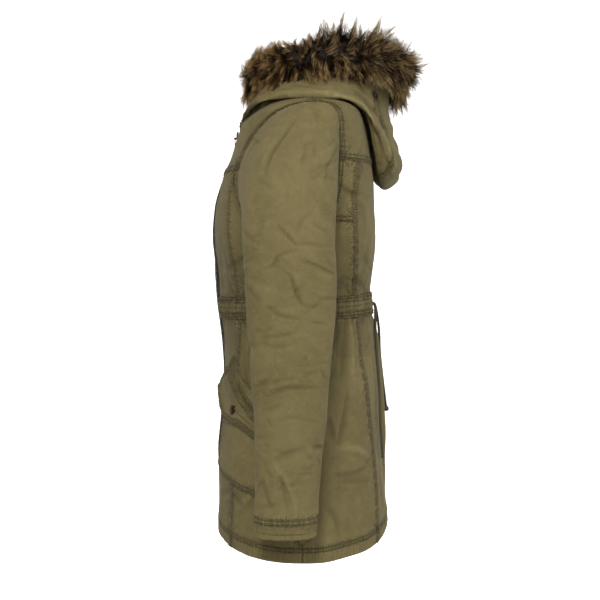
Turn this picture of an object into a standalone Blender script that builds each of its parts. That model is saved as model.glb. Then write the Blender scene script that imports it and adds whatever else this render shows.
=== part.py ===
# Fur trimmed parka, worn but empty, with its hood thrown back.
# The front faces -Y, the wearer's left is +X, and +Z is up. The origin lies between the shoulders,
# at the base of the neck. Every size below is in millimetres, and the meshes are in metres.

import math
from collections import namedtuple

import bpy
import numpy as np

MM = 0.001
SEAM_GAP = 0.4
CLOTH = 2.4
PATCH = 1.8

# Heights of the seams, as the height of the front at that level.
HEM = -698
CASING_LOW = -366
CASING_TOP = -334
NECK = -61

ZIP_HALF = 7.0
HOOD_FRONT_HALF = 3.0
SIDE_SEAM_ANGLE = 92
FRONT_PRINCESS_ANGLE = 53
GATHERS = 84
GATHER_HEIGHT = 2.2
FRONT_YOKE_COLUMNS, BACK_YOKE_COLUMNS = 5, 14
SKIRT_BACK_COLUMNS = [
    132, 140, 148, 156, 163, 169, 173, 175.5, 177.5, 179.5,
    181.5, 184, 186.5, 189.5, 193, 198, 204, 212, 220, 228,
]

# The seam between side and back.
SeamPlace = namedtuple("SeamPlace", "level angle")
SIDE_BACK_SEAM = [
    SeamPlace(-698, 132), SeamPlace(-580, 135), SeamPlace(-480, 132), SeamPlace(-386, 130),
    SeamPlace(-326, 126), SeamPlace(-238, 120), SeamPlace(-135, 115),
]

# One row for each level of the body. Angles run from the front, 0, by the wearer's left, 90, to the
# back, 180.
Ring = namedtuple("Ring", "level side_z back_z half_width front back side_y square")
BODY = [
    Ring(-698, -715, -697, 213, -132, 143, -4, 2.25),
    Ring(-640, -646, -640, 205, -131, 139, -4, 2.3),
    Ring(-590, -592, -590, 197, -130, 132, -5, 2.4),
    Ring(-530, -531, -530, 186, -125, 128, -6, 2.4),
    Ring(-470, -470, -470, 174, -121, 124, -7, 2.5),
    Ring(-410, -410, -410, 160, -122, 118, -8, 2.5),
    Ring(-366, -361, -359, 152, -125, 114, -8, 2.5),
    Ring(-334, -329, -326, 152, -128, 113, -8, 2.5),
    Ring(-290, -290, -290, 166, -131, 117, -8, 2.6),
    Ring(-233, -233, -233, 182, -137, 120, -8, 2.7),
    Ring(-190, -190, -190, 186, -134, 119, -5, 2.8),
    Ring(-160, -158, -158, 188, -127, 118, 0, 2.9),
    Ring(-137, -128, -128, 187, -119, 115, 6, 3.0),
    Ring(-118, -92, -96, 187, -110, 110, 16, 2.9),
    Ring(-100, -45, -62, 186, -103, 101, 24, 2.6),
    Ring(-80, -25, -30, 130, -98, 83, 14, 2.3),
    Ring(-61, 0, -6, 78, -97, 62, -4, 2.1),
]

# The armhole of the wearer's left sleeve as seen from that side, from the shoulder round by the front.
ArmholePoint = namedtuple("ArmholePoint", "y z")
ARMHOLE = [
    ArmholePoint(22, -41),
    ArmholePoint(-8, -45),
    ArmholePoint(-44, -63),
    ArmholePoint(-74, -98),
    ArmholePoint(-91, -138),
    ArmholePoint(-89, -180),
    ArmholePoint(-62, -217),
    ArmholePoint(-10, -236),
    ArmholePoint(30, -216),
    ArmholePoint(50, -175),
    ArmholePoint(56, -125),
    ArmholePoint(57, -90),
    ArmholePoint(55, -60),
    ArmholePoint(42, -44),
]
AT_FRONT_YOKE, AT_UNDERARM, AT_SIDE_SEAM_TOP, AT_BACK_YOKE = 4, 7, 8, 10
STEPS_A_POINT = 2

# Soft folds of the body: where each lies, how far it spreads and how far it stands out (or in, below zero).
# Each fades in over its soft ends, in millimetres, and its top lies round by its lean, in degrees.
Fold = namedtuple("Fold", "angle top bottom spread height lean soft_top soft_bottom")
BODY_FOLDS = [
    Fold(186, -345, -690, 6, 11, 1, 60, 140),
    Fold(193, -345, -690, 7, 6, 1, 80, 140),
    Fold(177.5, -350, -640, 3.2, -5, 0, 40, 30),
    Fold(166, -400, -640, 8, 2, 2, 90, 90),
    Fold(150, -345, -520, 7, 4, 5, 30, 90),
    Fold(136, -350, -470, 5, -4, 4, 30, 60),
    Fold(112, -420, -720, 8, -6, 3, 120, 30),
    Fold(98, -380, -720, 7, 6, -4, 90, 30),
    Fold(74, -400, -720, 12, -4, 0, 90, 30),
    Fold(34, -470, -720, 13, 3, -3, 90, 30),
    Fold(205, -350, -720, 8, -5, -3, 90, 30),
    Fold(222, -352, -640, 7, 4, -3, 60, 90),
    Fold(246, -400, -720, 8, -5, -2, 90, 30),
    Fold(262, -380, -720, 7, 6, 3, 90, 30),
    Fold(286, -400, -720, 12, -4, 0, 90, 30),
    Fold(326, -470, -720, 13, 3, 3, 90, 30),
    Fold(113, -160, -236, 4, -4, 4, 30, 30),
    Fold(247, -160, -236, 4, -4, -4, 30, 30),
    Fold(140, -200, -335, 6, 2, 4, 60, 20),
    Fold(218, -190, -335, 6, 2, -4, 60, 20),
    Fold(38, -230, -335, 6, -3, 4, 60, 20),
    Fold(322, -230, -335, 6, -3, -4, 60, 20),
]

# Sections of the sleeve below the armhole, for the wearer's left arm.
Section = namedtuple("Section", "z across_x along_y half_side half_front")
SLEEVE = [
    Section(-247, 231, -16, 43, 66),
    Section(-290, 233, -14, 43, 66),
    Section(-335, 235, -13, 42, 64),
    Section(-385, 237, -13, 41, 60),
    Section(-440, 239, -14, 39, 56),
    Section(-500, 242, -14, 38, 52),
    Section(-555, 245, -17, 36, 48),
    Section(-612, 248, -19, 34, 45.5),
    Section(-662, 250, -21.5, 33, 46),
]
CUFF_TOP = -633
SLEEVE_SQUARE = 2.2
CAP_REACH = 190
CAP_TOP_WAY = np.array([1.0, 0, -0.36])
CAP_LOW_WAY = np.array([0.55, 0, -1.0])

# Bends in the sleeve: height, direction round the sleeve, spread both ways, and depth.
Crease = namedtuple("Crease", "z around slope spread_z spread_around depth")
SLEEVE_CREASES = [
    Crease(-300, 60, 0.30, 7, 50, -3.0),
    Crease(-352, 40, 0.10, 6, 55, -3.0),
    Crease(-392, 60, -0.25, 7, 60, -4.0),
    Crease(-418, 20, 0.20, 6, 50, -3.0),
    Crease(-470, 150, 0.35, 8, 45, -3.0),
    Crease(-540, 130, 0.50, 8, 40, -3.0),
    Crease(-585, 70, 1.00, 8, 35, -3.0),
]

# The hood's profile at each direction round the neck: over the shoulder, down inside to the bag's bottom, up
# its outside, in below the fur and up to the edge. Radii run from an upright line through HOOD_AXIS_Y.
HOOD_AXIS_Y = 30
HOOD_SEAM_AZIMUTH = 146
Hood = namedtuple("Hood", "azimuth over_r over_z in_r low_z out_r out_z waist_r waist_z edge_r edge_z")
HOOD = [
    Hood(0, 127, -56, 127, -52, 123, -48, 113, -27, 105, -5),
    Hood(25, 117, -36, 124, -46, 129, -43, 117, -23, 106, -3),
    Hood(50, 96, 2, 111, -15, 142, -33, 122, -9, 106, 3),
    Hood(75, 77, 10, 103, -12, 150, -29, 127, -6, 105, 5),
    Hood(100, 62, 10, 100, -17, 150, -31, 127, -9, 106, 5),
    Hood(118, 52, 10, 99, -29, 145, -48, 126, -16, 108, 4),
    Hood(125, 50, 9, 118, -50, 142, -64, 123, -22, 109, 3),
    Hood(132, 48, 9, 122, -98, 140, -84, 120, -28, 110, 2),
    Hood(140, 46, 9, 114, -132, 138, -104, 118, -35, 112, 0),
    Hood(160, 44, 8, 98, -154, 137, -116, 116, -43, 115, -2),
    Hood(180, 42, 8, 92, -159, 135, -119, 115, -44, 117, -3),
]

# The fur round the hood's edge, at each direction: its inner side, top, outermost place, underside and
# lowest place.
Fur = namedtuple("Fur", "azimuth in_r top_z out_r out_z under_r low_r low_z")
FUR = [
    Fur(0, 62, 68, 119, 26, 114, 113, -10),
    Fur(40, 58, 67, 127, 28, 121, 118, -3),
    Fur(75, 58, 78, 140, 36, 133, 123, 7),
    Fur(105, 58, 96, 149, 44, 141, 125, 5),
    Fur(140, 62, 91, 164, 38, 150, 131, -20),
    Fur(180, 68, 80, 175, 31, 150, 136, -44),
]
FUR_TUFTS = 24
FUR_TUFT_SHARE = 0.06

# How far the closed zip stands out from the fronts, along their height.
ZIP_PROUD = [(-698, 1.0), (-640, 1.2), (-575, 3.5), (-520, 2.5), (-450, 2.0), (-400, 3.5),
             (-340, 6.5), (-300, 6.0), (-262, 2.0), (-200, 1.4), (-61, 1.2)]

# The edges of the left hip pocket's pieces, each from front to back, as angle and level on the body.
POCKET_TOP = [(36, -462), (47, -447), (57, -472), (68, -503), (79, -536), (89, -562)]
POCKET_LOW = [(36, -592), (43, -604), (55, -610), (67, -617), (79, -621), (91, -622)]
BAND_TOP = [(50, -419), (58, -440), (67, -463), (79, -494), (90, -525)]
BAND_LOW = [(44.5, -435), (56, -465), (68, -497), (79, -530), (89, -556)]
FLAP_TOP = [(44.5, -437), (56, -467), (68, -499), (79, -532), (87, -553)]
FLAP_LOW = [(29, -474), (45, -513), (60, -521), (71, -537), (85, -566)]
POCKET_GAP = 1.2
POCKET_SWELL = 4.0
FLAP_GAP = 4.2
FLAP_LIFT = 3.2
FLAP_CORNER_LIFT = 4.5
SNAP_ALONG, SNAP_DOWN = 0.36, 0.52
SNAP_RADIUS, SNAP_HEIGHT = 7.0, 3.0

# The drawcord's free ends, each place as angle, level and the cord's distance from the cloth.
CORD_DIAMETER = 4.6
CordPlace = namedtuple("CordPlace", "angle level out")
CORD_LEFT = [
    CordPlace(176.5, -353.0, 3.4), CordPlace(176.6, -353.8, 7.6), CordPlace(176.2, -359, 9.8),
    CordPlace(173.0, -371, 9.0), CordPlace(167.5, -392, 6.6), CordPlace(160.5, -430, 5.0),
    CordPlace(155.5, -480, 4.6), CordPlace(152.5, -530, 4.4), CordPlace(151.0, -582, 5.0),
]
CORD_RIGHT = [
    CordPlace(183.5, -353.0, 3.4), CordPlace(183.5, -353.8, 7.6), CordPlace(184.2, -359, 9.8),
    CordPlace(186.5, -374, 8.0), CordPlace(190.0, -396, 5.0), CordPlace(191.5, -430, 3.6),
    CordPlace(191.5, -470, 4.0), CordPlace(191.0, -520, 6.4),
]
CORD_STEP = 11.0
BEAD_RADIUS, BEAD_LENGTH, BEAD_SIDES = 4.6, 9.0, 6
KNOT_RADIUS, KNOT_LENGTH, KNOT_SIDES = 3.6, 5.0, 8
EYELET_OUTER, EYELET_INNER, EYELET_HEIGHT, EYELET_SIDES = 5.4, 2.9, 1.4, 10
EYELET_LEVEL, EYELET_OUT = -353.0, 2.7
HOOD_EYELET_AZIMUTH, HOOD_EYELET_ALONG, HOOD_EYELET_OUT = 139, 0.93, 0.5

SLIDER_LEVEL = -74
SLIDER_DEPTH, SLIDER_LIFT = 3.2, 1.7
PIN_RADIUS, PIN_HOLE, BARREL_WALL = 0.85, 1.2, 0.75
PIN_OUT, PIN_DOWN = 2.3, 3.0
LUG_INNER, LUG_OUTER, LUG_HALF_HEIGHT, LUG_TIP, LUG_ROOT = 2.4, 3.6, 1.6, 3.5, 1.4
# The slider's outline, each level as its rise, half width and share of the full depth.
SliderLevel = namedtuple("SliderLevel", "rise half_width depth_share")
SLIDER = [
    SliderLevel(8, 2.6, 0.6), SliderLevel(6, 4.2, 0.92),
    SliderLevel(1, 5.0, 1.0), SliderLevel(-7, 4.0, 0.88),
]
TAB_LENGTH, TAB_THICK, TAB_HALF_WIDTH, TAB_TIP_HALF = 20.0, 1.3, 3.6, 2.2


def clear_scene():
    for thing in list(bpy.data.objects):
        bpy.data.objects.remove(thing)


def make_material(name, colour, roughness, metallic=0.0):
    material = bpy.data.materials.new(name)
    material.use_nodes = True
    shader = material.node_tree.nodes["Principled BSDF"]
    shader.inputs["Base Color"].default_value = (*colour, 1)
    shader.inputs["Roughness"].default_value = roughness
    shader.inputs["Metallic"].default_value = metallic
    return material


def smooth_through(xs, ys, x, flat=False):
    """A curve through the points that never swings past them. With flat, its ends are level."""
    xs, ys = np.asarray(xs, float), np.asarray(ys, float)
    step = np.diff(xs)
    slope = np.diff(ys) / step
    tangent = np.zeros(len(xs))
    if not flat:
        tangent[0], tangent[-1] = slope[0], slope[-1]
    for i in range(1, len(xs) - 1):
        if slope[i - 1] * slope[i] > 0:
            before, after = 2 * step[i] + step[i - 1], step[i] + 2 * step[i - 1]
            tangent[i] = (before + after) / (before / slope[i - 1] + after / slope[i])
    x = np.clip(np.asarray(x, float), xs[0], xs[-1])
    at = np.clip(np.searchsorted(xs, x, side="right") - 1, 0, len(step) - 1)
    t = (x - xs[at]) / step[at]
    h = step[at]
    return (
        ys[at] * (1 + 2 * t) * (1 - t) ** 2
        + ys[at + 1] * t * t * (3 - 2 * t)
        + tangent[at] * h * t * (1 - t) ** 2
        - tangent[at + 1] * h * t * t * (1 - t)
    )


def column(rows, field, x, key):
    """One field of a table. Round the neck it runs level at the front and back, where the halves meet."""
    xs, ys = [getattr(r, key) for r in rows], [getattr(r, field) for r in rows]
    return smooth_through(xs, ys, x, flat=key == "azimuth")


def blend_through(p0, p1, p2, p3, f):
    """A round curve's point at share f of the way from p1 to p2."""
    square = 2 * p0 - 5 * p1 + 4 * p2 - p3
    cube = 3 * p1 - p0 - 3 * p2 + p3
    return 0.5 * (2 * p1 + (p2 - p0) * f + square * f**2 + cube * f**3)


def curve_through(points, t, closed=False):
    """A round curve through the rows of points, at t from 0 to their last index."""
    points = np.asarray(points, float)
    count = len(points)
    t = np.asarray(t, float)
    at = np.floor(t).astype(int)
    if closed:
        pick = [(at + k) % count for k in (-1, 0, 1, 2)]
    else:
        at = np.clip(at, 0, count - 2)
        pick = [np.clip(at + k, 0, count - 1) for k in (-1, 0, 1, 2)]
    f = (t - at)[..., None]
    p0, p1, p2, p3 = (points[i] for i in pick)
    return blend_through(p0, p1, p2, p3, f)


def plain_body(angle, level):
    """A point of the smooth body, before any fold."""
    angle, level = np.broadcast_arrays(np.asarray(angle, float), np.asarray(level, float))
    turn = np.radians(angle)
    across, ahead = np.sin(turn), np.cos(turn)
    side_z, back_z, half, front, back, side_y, square = (
        column(BODY, field, level, "level") for field in Ring._fields[1:]
    )
    depth = np.where(ahead > 0, side_y - front, back - side_y)
    reach = (np.abs(across / half) ** square + np.abs(ahead / depth) ** square) ** (-1 / square)
    end_z = np.where(ahead > 0, level, back_z)
    z = side_z + (end_z - side_z) * ahead**2
    return np.stack([reach * across, side_y - reach * ahead, z], axis=-1)


def normals_of(surface, a, b, da, db):
    """Unit normals of a surface of two numbers, pointing out."""
    along_a = surface(a + da, b) - surface(a - da, b)
    along_b = surface(a, b + db) - surface(a, b - db)
    normal = np.cross(along_a, along_b)
    return normal / np.maximum(np.linalg.norm(normal, axis=-1, keepdims=True), 1e-9)


def body_normal(angle, level):
    level = np.clip(np.asarray(level, float), HEM + 1.1, NECK - 1.1)
    return normals_of(plain_body, np.asarray(angle, float), level, 0.5, 1.0)


def eased(x):
    x = np.clip(x, 0, 1)
    return x * x * (3 - 2 * x)


def fold_height(angle, level):
    """How far the folds push the cloth out at a place on the body."""
    height = np.zeros(np.broadcast(angle, level).shape)
    for fold in BODY_FOLDS:
        fade = eased((fold.top - level) / fold.soft_top) * eased((level - fold.bottom) / fold.soft_bottom)
        down = (level - (fold.top + fold.bottom) / 2) / ((fold.top - fold.bottom) / 2)
        away = (angle - fold.angle - fold.lean * down + 180) % 360 - 180
        height = height + fold.height * fade * np.exp(-((away / fold.spread) ** 2))
    return height


def body(angle, level, out=0.0):
    """A point of the folded body, moved out by that many millimetres."""
    normal = body_normal(angle, level)
    lift = fold_height(angle, level) + out
    return plain_body(angle, level) + normal * np.asarray(lift)[..., None]


def inset(grid, edges):
    """Draws the named edges of a grid of points in by half a seam gap."""
    grid = grid.copy()
    half_gap = SEAM_GAP / 2
    for edge in edges:
        first, second = {"u0": (np.s_[0], np.s_[1]), "u1": (np.s_[-1], np.s_[-2]),
                         "v0": (np.s_[:, 0], np.s_[:, 1]), "v1": (np.s_[:, -1], np.s_[:, -2])}[edge]
        way = grid[second] - grid[first]
        grid[first] = grid[first] + way / np.linalg.norm(way, axis=-1, keepdims=True) * half_gap
    return grid


def add_object(name, points, faces, material, smooth=True):
    """Makes the object, with its faces pointing out and its place in its mesh."""
    points = np.asarray(points, float) * MM
    volume = 0.0
    for face in faces:
        corner = points[face[0]]
        for i in range(1, len(face) - 1):
            volume += np.dot(corner, np.cross(points[face[i]], points[face[i + 1]]))
    if volume < 0:
        faces = [face[::-1] for face in faces]
    mesh = bpy.data.meshes.new(name)
    mesh.from_pydata(points.tolist(), [], [list(map(int, f)) for f in faces])
    mesh.update()
    if smooth:
        mesh.shade_smooth()
        mesh.set_sharp_from_angle(angle=math.radians(50))
    mesh.materials.append(material)
    thing = bpy.data.objects.new(name, mesh)
    bpy.context.scene.collection.objects.link(thing)
    return thing


def wall(name, outer, inner, material, ring=False):
    """A closed wall between two grids of points. With ring, their first number goes all the way round."""
    nu, nv = outer.shape[:2]
    front = np.arange(nu * nv).reshape(nu, nv)
    back = front + nu * nv
    faces = []
    for i in range(nu if ring else nu - 1):
        j = (i + 1) % nu
        for k in range(nv - 1):
            faces.append((front[i, k], front[j, k], front[j, k + 1], front[i, k + 1]))
            faces.append((back[i, k], back[i, k + 1], back[j, k + 1], back[j, k]))
        faces.append((front[j, 0], front[i, 0], back[i, 0], back[j, 0]))
        faces.append((front[i, -1], front[j, -1], back[j, -1], back[i, -1]))
    if not ring:
        for k in range(nv - 1):
            faces.append((front[0, k], front[0, k + 1], back[0, k + 1], back[0, k]))
            faces.append((front[-1, k + 1], front[-1, k], back[-1, k], back[-1, k + 1]))
    points = np.concatenate([outer.reshape(-1, 3), inner.reshape(-1, 3)])
    return add_object(name, points, faces, material)


PANEL_EDGES = ("u0", "u1", "v0", "v1")


def mirrored(angle):
    return 360 - angle


def place(y, z):
    """Angle and level of the left half of the body that show at y and z from the side."""
    angle, level = np.full(np.shape(y), 90.0), np.asarray(z, float) - 20
    for _ in range(60):
        here = plain_body(angle, level)
        by_angle = (plain_body(angle + 0.1, level) - here) / 0.1
        by_level = (plain_body(angle, level + 0.1) - here) / 0.1
        miss_y, miss_z = y - here[..., 1], z - here[..., 2]
        det = by_angle[..., 1] * by_level[..., 2] - by_angle[..., 2] * by_level[..., 1]
        turn = (miss_y * by_level[..., 2] - miss_z * by_level[..., 1]) / det
        rise = (miss_z * by_angle[..., 1] - miss_y * by_angle[..., 2]) / det
        angle = np.clip(angle + np.clip(turn, -4, 4), 30, 150)
        level = np.clip(level + np.clip(rise, -8, 8), HEM + 2, NECK - 2)
    return np.stack([angle, level], axis=-1)


def armhole_at(index):
    """Angle and level of the left armhole's edge, at an index of its table."""
    return curve_through(ARMHOLE_PLACES, np.asarray(index, float), closed=True)


def edge_line(start, end, steps):
    share = np.linspace(0, 1, steps + 1)[:, None]
    return np.asarray(start, float) * (1 - share) + np.asarray(end, float) * share


def armhole_line(first, last):
    """The armhole's edge from one index of its table to another, at the steps that the sleeve shares."""
    count = abs(last - first) * STEPS_A_POINT
    return armhole_at(np.linspace(first, last, count + 1))


def side_back_angle(level):
    levels, angles = np.array(SIDE_BACK_SEAM, float).T
    return smooth_through(levels, angles, level)


def zip_angle(level):
    """The angle at which the front's edge lies beside the zip."""
    front = column(BODY, "front", level, "level")
    side_y = column(BODY, "side_y", level, "level")
    return np.degrees(np.arctan2(ZIP_HALF, side_y - front))


def joined(*lines):
    """Edge lines end to end, without doubling the points that they share."""
    return np.concatenate([lines[0]] + [line[1:] for line in lines[1:]])


def body_panel(name, first_edge, second_edge, columns, material, mirror=False):
    """A panel of the body between two edge lines of angle and level, each from low to high."""
    share = np.linspace(0, 1, columns + 1) if np.isscalar(columns) else np.asarray(columns)
    share = share[:, None, None]
    place_on = first_edge[None] * (1 - share) + second_edge[None] * share
    angle, level = place_on[..., 0], place_on[..., 1]
    if mirror:
        angle = mirrored(angle)
    outer = inset(body(angle, level), PANEL_EDGES)
    inner = inset(body(angle, level, -CLOTH), PANEL_EDGES)
    return wall(name, outer, inner, material)


def make_upper_body(cloth):
    front_yoke_level = armhole_at(AT_FRONT_YOKE)[1]
    underarm_level = armhole_at(AT_UNDERARM)[1]
    side_top_level = armhole_at(AT_SIDE_SEAM_TOP)[1]
    back_yoke_level = armhole_at(AT_BACK_YOKE)[1]
    below = np.linspace(CASING_TOP, underarm_level, 5)
    front_steps = (AT_UNDERARM - AT_FRONT_YOKE) * STEPS_A_POINT
    back_steps = (AT_BACK_YOKE - AT_SIDE_SEAM_TOP) * STEPS_A_POINT
    front_levels = joined(below, np.linspace(underarm_level, front_yoke_level, front_steps + 1))
    side_levels = joined(below, np.linspace(underarm_level, side_top_level, STEPS_A_POINT + 1))
    back_levels = joined(side_levels, np.linspace(side_top_level, back_yoke_level, back_steps + 1))
    side_seam = np.stack([np.full(len(below), SIDE_SEAM_ANGLE), below], axis=-1)
    princess = np.stack([np.full(len(front_levels), FRONT_PRINCESS_ANGLE), front_levels], axis=-1)
    zip_edge = np.stack([zip_angle(front_levels), front_levels], axis=-1)
    to_front = joined(side_seam, armhole_line(AT_UNDERARM, AT_FRONT_YOKE))
    to_back = joined(side_seam, armhole_line(AT_UNDERARM, AT_SIDE_SEAM_TOP))
    side_back = np.stack([side_back_angle(back_levels), back_levels], axis=-1)
    rows = len(to_back)
    shoulder_seam = edge_line(armhole_at(0), (90, NECK), 4)
    top_front = joined(armhole_line(AT_FRONT_YOKE, 0), shoulder_seam)
    top_back = joined(armhole_line(AT_BACK_YOKE, len(ARMHOLE)), shoulder_seam)
    yoke_levels = np.linspace(front_yoke_level, NECK, len(top_front))
    yoke_zip = np.stack([zip_angle(yoke_levels), yoke_levels], axis=-1)
    for side, mirror in (("left", False), ("right", True)):
        body_panel(f"front_{side}", zip_edge, princess, 4, cloth, mirror=mirror)
        body_panel(f"side_front_{side}", princess, to_front, 4, cloth, mirror=mirror)
        body_panel(f"side_{side}", to_back, side_back[:rows], 3, cloth, mirror=mirror)
        upper = armhole_line(AT_SIDE_SEAM_TOP, AT_BACK_YOKE)
        body_panel(f"upper_side_back_{side}", upper, side_back[rows - 1:], 2, cloth, mirror=mirror)
        body_panel(f"front_yoke_{side}", yoke_zip, top_front, FRONT_YOKE_COLUMNS, cloth, mirror=mirror)
    opposite = np.stack([mirrored(side_back[:, 0]), side_back[:, 1]], axis=-1)
    body_panel("back", side_back, opposite, 10, cloth)
    far_edge = np.stack([mirrored(top_back[:, 0]), top_back[:, 1]], axis=-1)
    body_panel("back_yoke", top_back, far_edge, BACK_YOKE_COLUMNS, cloth)


def make_casing(cloth):
    """The gathered band round the waist: puckered outside and plain inside."""
    levels = np.array([CASING_LOW, (CASING_LOW + CASING_TOP) / 2, CASING_TOP], float)
    start = float(zip_angle((CASING_LOW + CASING_TOP) / 2))
    columns = 2 * GATHERS
    angle = np.linspace(start, mirrored(start), columns + 1)[:, None]
    pucker = (np.arange(columns + 1) % 2)[:, None] * GATHER_HEIGHT
    swell = np.array([0.6, 1.0, 0.6])[None]
    angle, level = np.broadcast_arrays(angle, levels[None])
    outer = inset(body(angle, level, pucker * swell), ("v0", "v1"))
    inner = inset(body(angle, level, np.full(angle.shape, -CLOTH)), ("v0", "v1"))
    return wall("waist_casing", outer, inner, cloth)


def make_skirt(cloth):
    levels = np.linspace(HEM, CASING_LOW, 11)

    def line(angle):
        return np.stack([np.broadcast_to(angle, levels.shape), levels], axis=-1)

    side_back = line(side_back_angle(levels))
    for side, mirror in (("left", False), ("right", True)):
        body_panel(f"skirt_front_{side}", line(zip_angle(levels)), line(FRONT_PRINCESS_ANGLE), 5, cloth,
                   mirror=mirror)
        body_panel(f"skirt_side_front_{side}", line(FRONT_PRINCESS_ANGLE), line(SIDE_SEAM_ANGLE), 5, cloth,
                   mirror=mirror)
        body_panel(f"skirt_side_back_{side}", line(SIDE_SEAM_ANGLE), side_back, 4, cloth, mirror=mirror)
    opposite = line(mirrored(side_back_angle(levels)))
    low, high = SKIRT_BACK_COLUMNS[0], SKIRT_BACK_COLUMNS[-1]
    shares = (np.array(SKIRT_BACK_COLUMNS) - low) / (high - low)
    body_panel("skirt_back", side_back, opposite, shares, cloth)


def sleeve_ring(z, around):
    """A point of the left sleeve below the armhole. Around runs from outside, 0, by the front, 90."""
    depth = -np.asarray(z, float)
    keys = [-s.z for s in SLEEVE]
    cx, cy, side, front = (
        smooth_through(keys, [getattr(s, f) for s in SLEEVE], depth) for f in Section._fields[1:]
    )
    turn = np.radians(around)
    out_x, out_y = np.cos(turn), -np.sin(turn)
    reach = (np.abs(out_x / side) ** SLEEVE_SQUARE + np.abs(out_y / front) ** SLEEVE_SQUARE) ** (
        -1 / SLEEVE_SQUARE
    )
    return np.stack([cx + reach * out_x, cy + reach * out_y, np.broadcast_to(z, cx.shape)], axis=-1)


def crease_depth(z, around):
    depth = np.zeros(np.broadcast(z, around).shape)
    for crease in SLEEVE_CREASES:
        away = (around - crease.around + 180) % 360 - 180
        centre = crease.z + crease.slope * away
        depth = depth + crease.depth * np.exp(-(((z - centre) / crease.spread_z) ** 2)) * np.exp(
            -((away / crease.spread_around) ** 2)
        )
    return depth


def sleeve_directions():
    """For each armhole step, the direction round the sleeve that it hangs down to."""
    steps = len(ARMHOLE) * STEPS_A_POINT
    loop = armhole_at(np.arange(steps) / STEPS_A_POINT)
    at = plain_body(loop[:, 0], loop[:, 1])
    share = np.concatenate([[0], np.cumsum(np.linalg.norm(np.diff(at, axis=0), axis=1))])
    total = share[-1] + np.linalg.norm(at[0] - at[-1])
    under = share[AT_UNDERARM * STEPS_A_POINT]
    turn = np.where(share < under, share / under * 180, 180 + (share - under) / (total - under) * 180)
    return loop, turn


def left_sleeve_grid(rows_cap, heights):
    """Points of the left sleeve's outside from the armhole down, and the direction of each column."""
    loop, turn = sleeve_directions()
    start = body(loop[:, 0], loop[:, 1], SEAM_GAP)
    first = sleeve_ring(np.full(len(turn), float(heights[0])), turn)
    low = np.clip((start[:, 2].max() - start[:, 2]) / np.ptp(start[:, 2]), 0, 1)[:, None] ** 1.5
    leave = CAP_TOP_WAY * (1 - low) + CAP_LOW_WAY * low
    leave = leave / np.linalg.norm(leave, axis=1, keepdims=True)
    gap = np.linalg.norm(first - start, axis=1, keepdims=True)
    reach = np.minimum(gap * 0.95, CAP_REACH)
    t = np.linspace(0, 1, rows_cap + 1)[None, :, None]
    a, b = start[:, None], first[:, None]
    ta, tb = (leave * reach)[:, None], (np.array([0, 0, -1.0]) * reach)[:, None]
    ends = a * (1 + 2 * t) * (1 - t) ** 2 + b * t**2 * (3 - 2 * t)
    cap = ends + ta * t * (1 - t) ** 2 - tb * t**2 * (1 - t)
    z = np.broadcast_to(np.asarray(heights[1:], float)[None], (len(turn), len(heights) - 1))
    tube = sleeve_ring(z, np.broadcast_to(turn[:, None], z.shape))
    return np.concatenate([cap, tube], axis=1), turn


def grid_normals(grid, ring=True):
    """Normals of a grid of points, taken from its neighbours."""
    if ring:
        along_u = np.roll(grid, -1, axis=0) - np.roll(grid, 1, axis=0)
    else:
        along_u = np.gradient(grid, axis=0)
    along_v = np.gradient(grid, axis=1)
    normal = np.cross(along_u, along_v)
    return normal / np.maximum(np.linalg.norm(normal, axis=-1, keepdims=True), 1e-9)


def make_sleeves(cloth):
    grid, turn = left_sleeve_grid(5, np.linspace(SLEEVE[0].z, CUFF_TOP, 10))
    facing = grid_normals(grid)
    fade = eased((-grid[..., 2] - 240) / 30)
    outer = grid + facing * (crease_depth(grid[..., 2], turn[:, None]) * fade)[..., None]
    outer, inner = inset(outer, ("v1",)), inset(outer - facing * CLOTH, ("v1",))
    cuff_z = np.broadcast_to(np.array([CUFF_TOP, SLEEVE[-1].z], float)[None], (len(turn), 2))
    cuff = sleeve_ring(cuff_z, np.broadcast_to(turn[:, None], cuff_z.shape))
    cuff_outer, cuff_inner = inset(cuff, ("v0",)), inset(cuff - grid_normals(cuff) * CLOTH, ("v0",))
    for side, way in (("left", 1), ("right", -1)):
        turned = np.array([way, 1, 1])
        wall(f"sleeve_{side}", outer * turned, inner * turned, cloth, ring=True)
        wall(f"cuff_{side}", cuff_outer * turned, cuff_inner * turned, cloth, ring=True)


def neck_seam(azimuth):
    """The place on the neck seam that lies in a direction from the hood's upright line."""
    front = np.linspace(float(zip_angle(NECK)), 90, FRONT_YOKE_COLUMNS + 1)
    back = np.linspace(90, 180, BACK_YOKE_COLUMNS // 2 + 1)[1:]
    angle = np.concatenate([front, back])
    corner = plain_body(angle, np.full(angle.shape, float(NECK)))
    corner[0] = (0, *corner[0, 1:])
    share = np.linspace(0, len(corner) - 1, 40 * (len(corner) - 1) + 1)
    line = np.stack([np.interp(share, np.arange(len(corner)), corner[:, i]) for i in range(3)], axis=-1)
    found = np.degrees(np.arctan2(line[:, 0], HOOD_AXIS_Y - line[:, 1]))
    radius = np.hypot(line[:, 0], HOOD_AXIS_Y - line[:, 1])
    return np.interp(azimuth, found, radius), np.interp(azimuth, found, line[:, 2])


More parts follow.
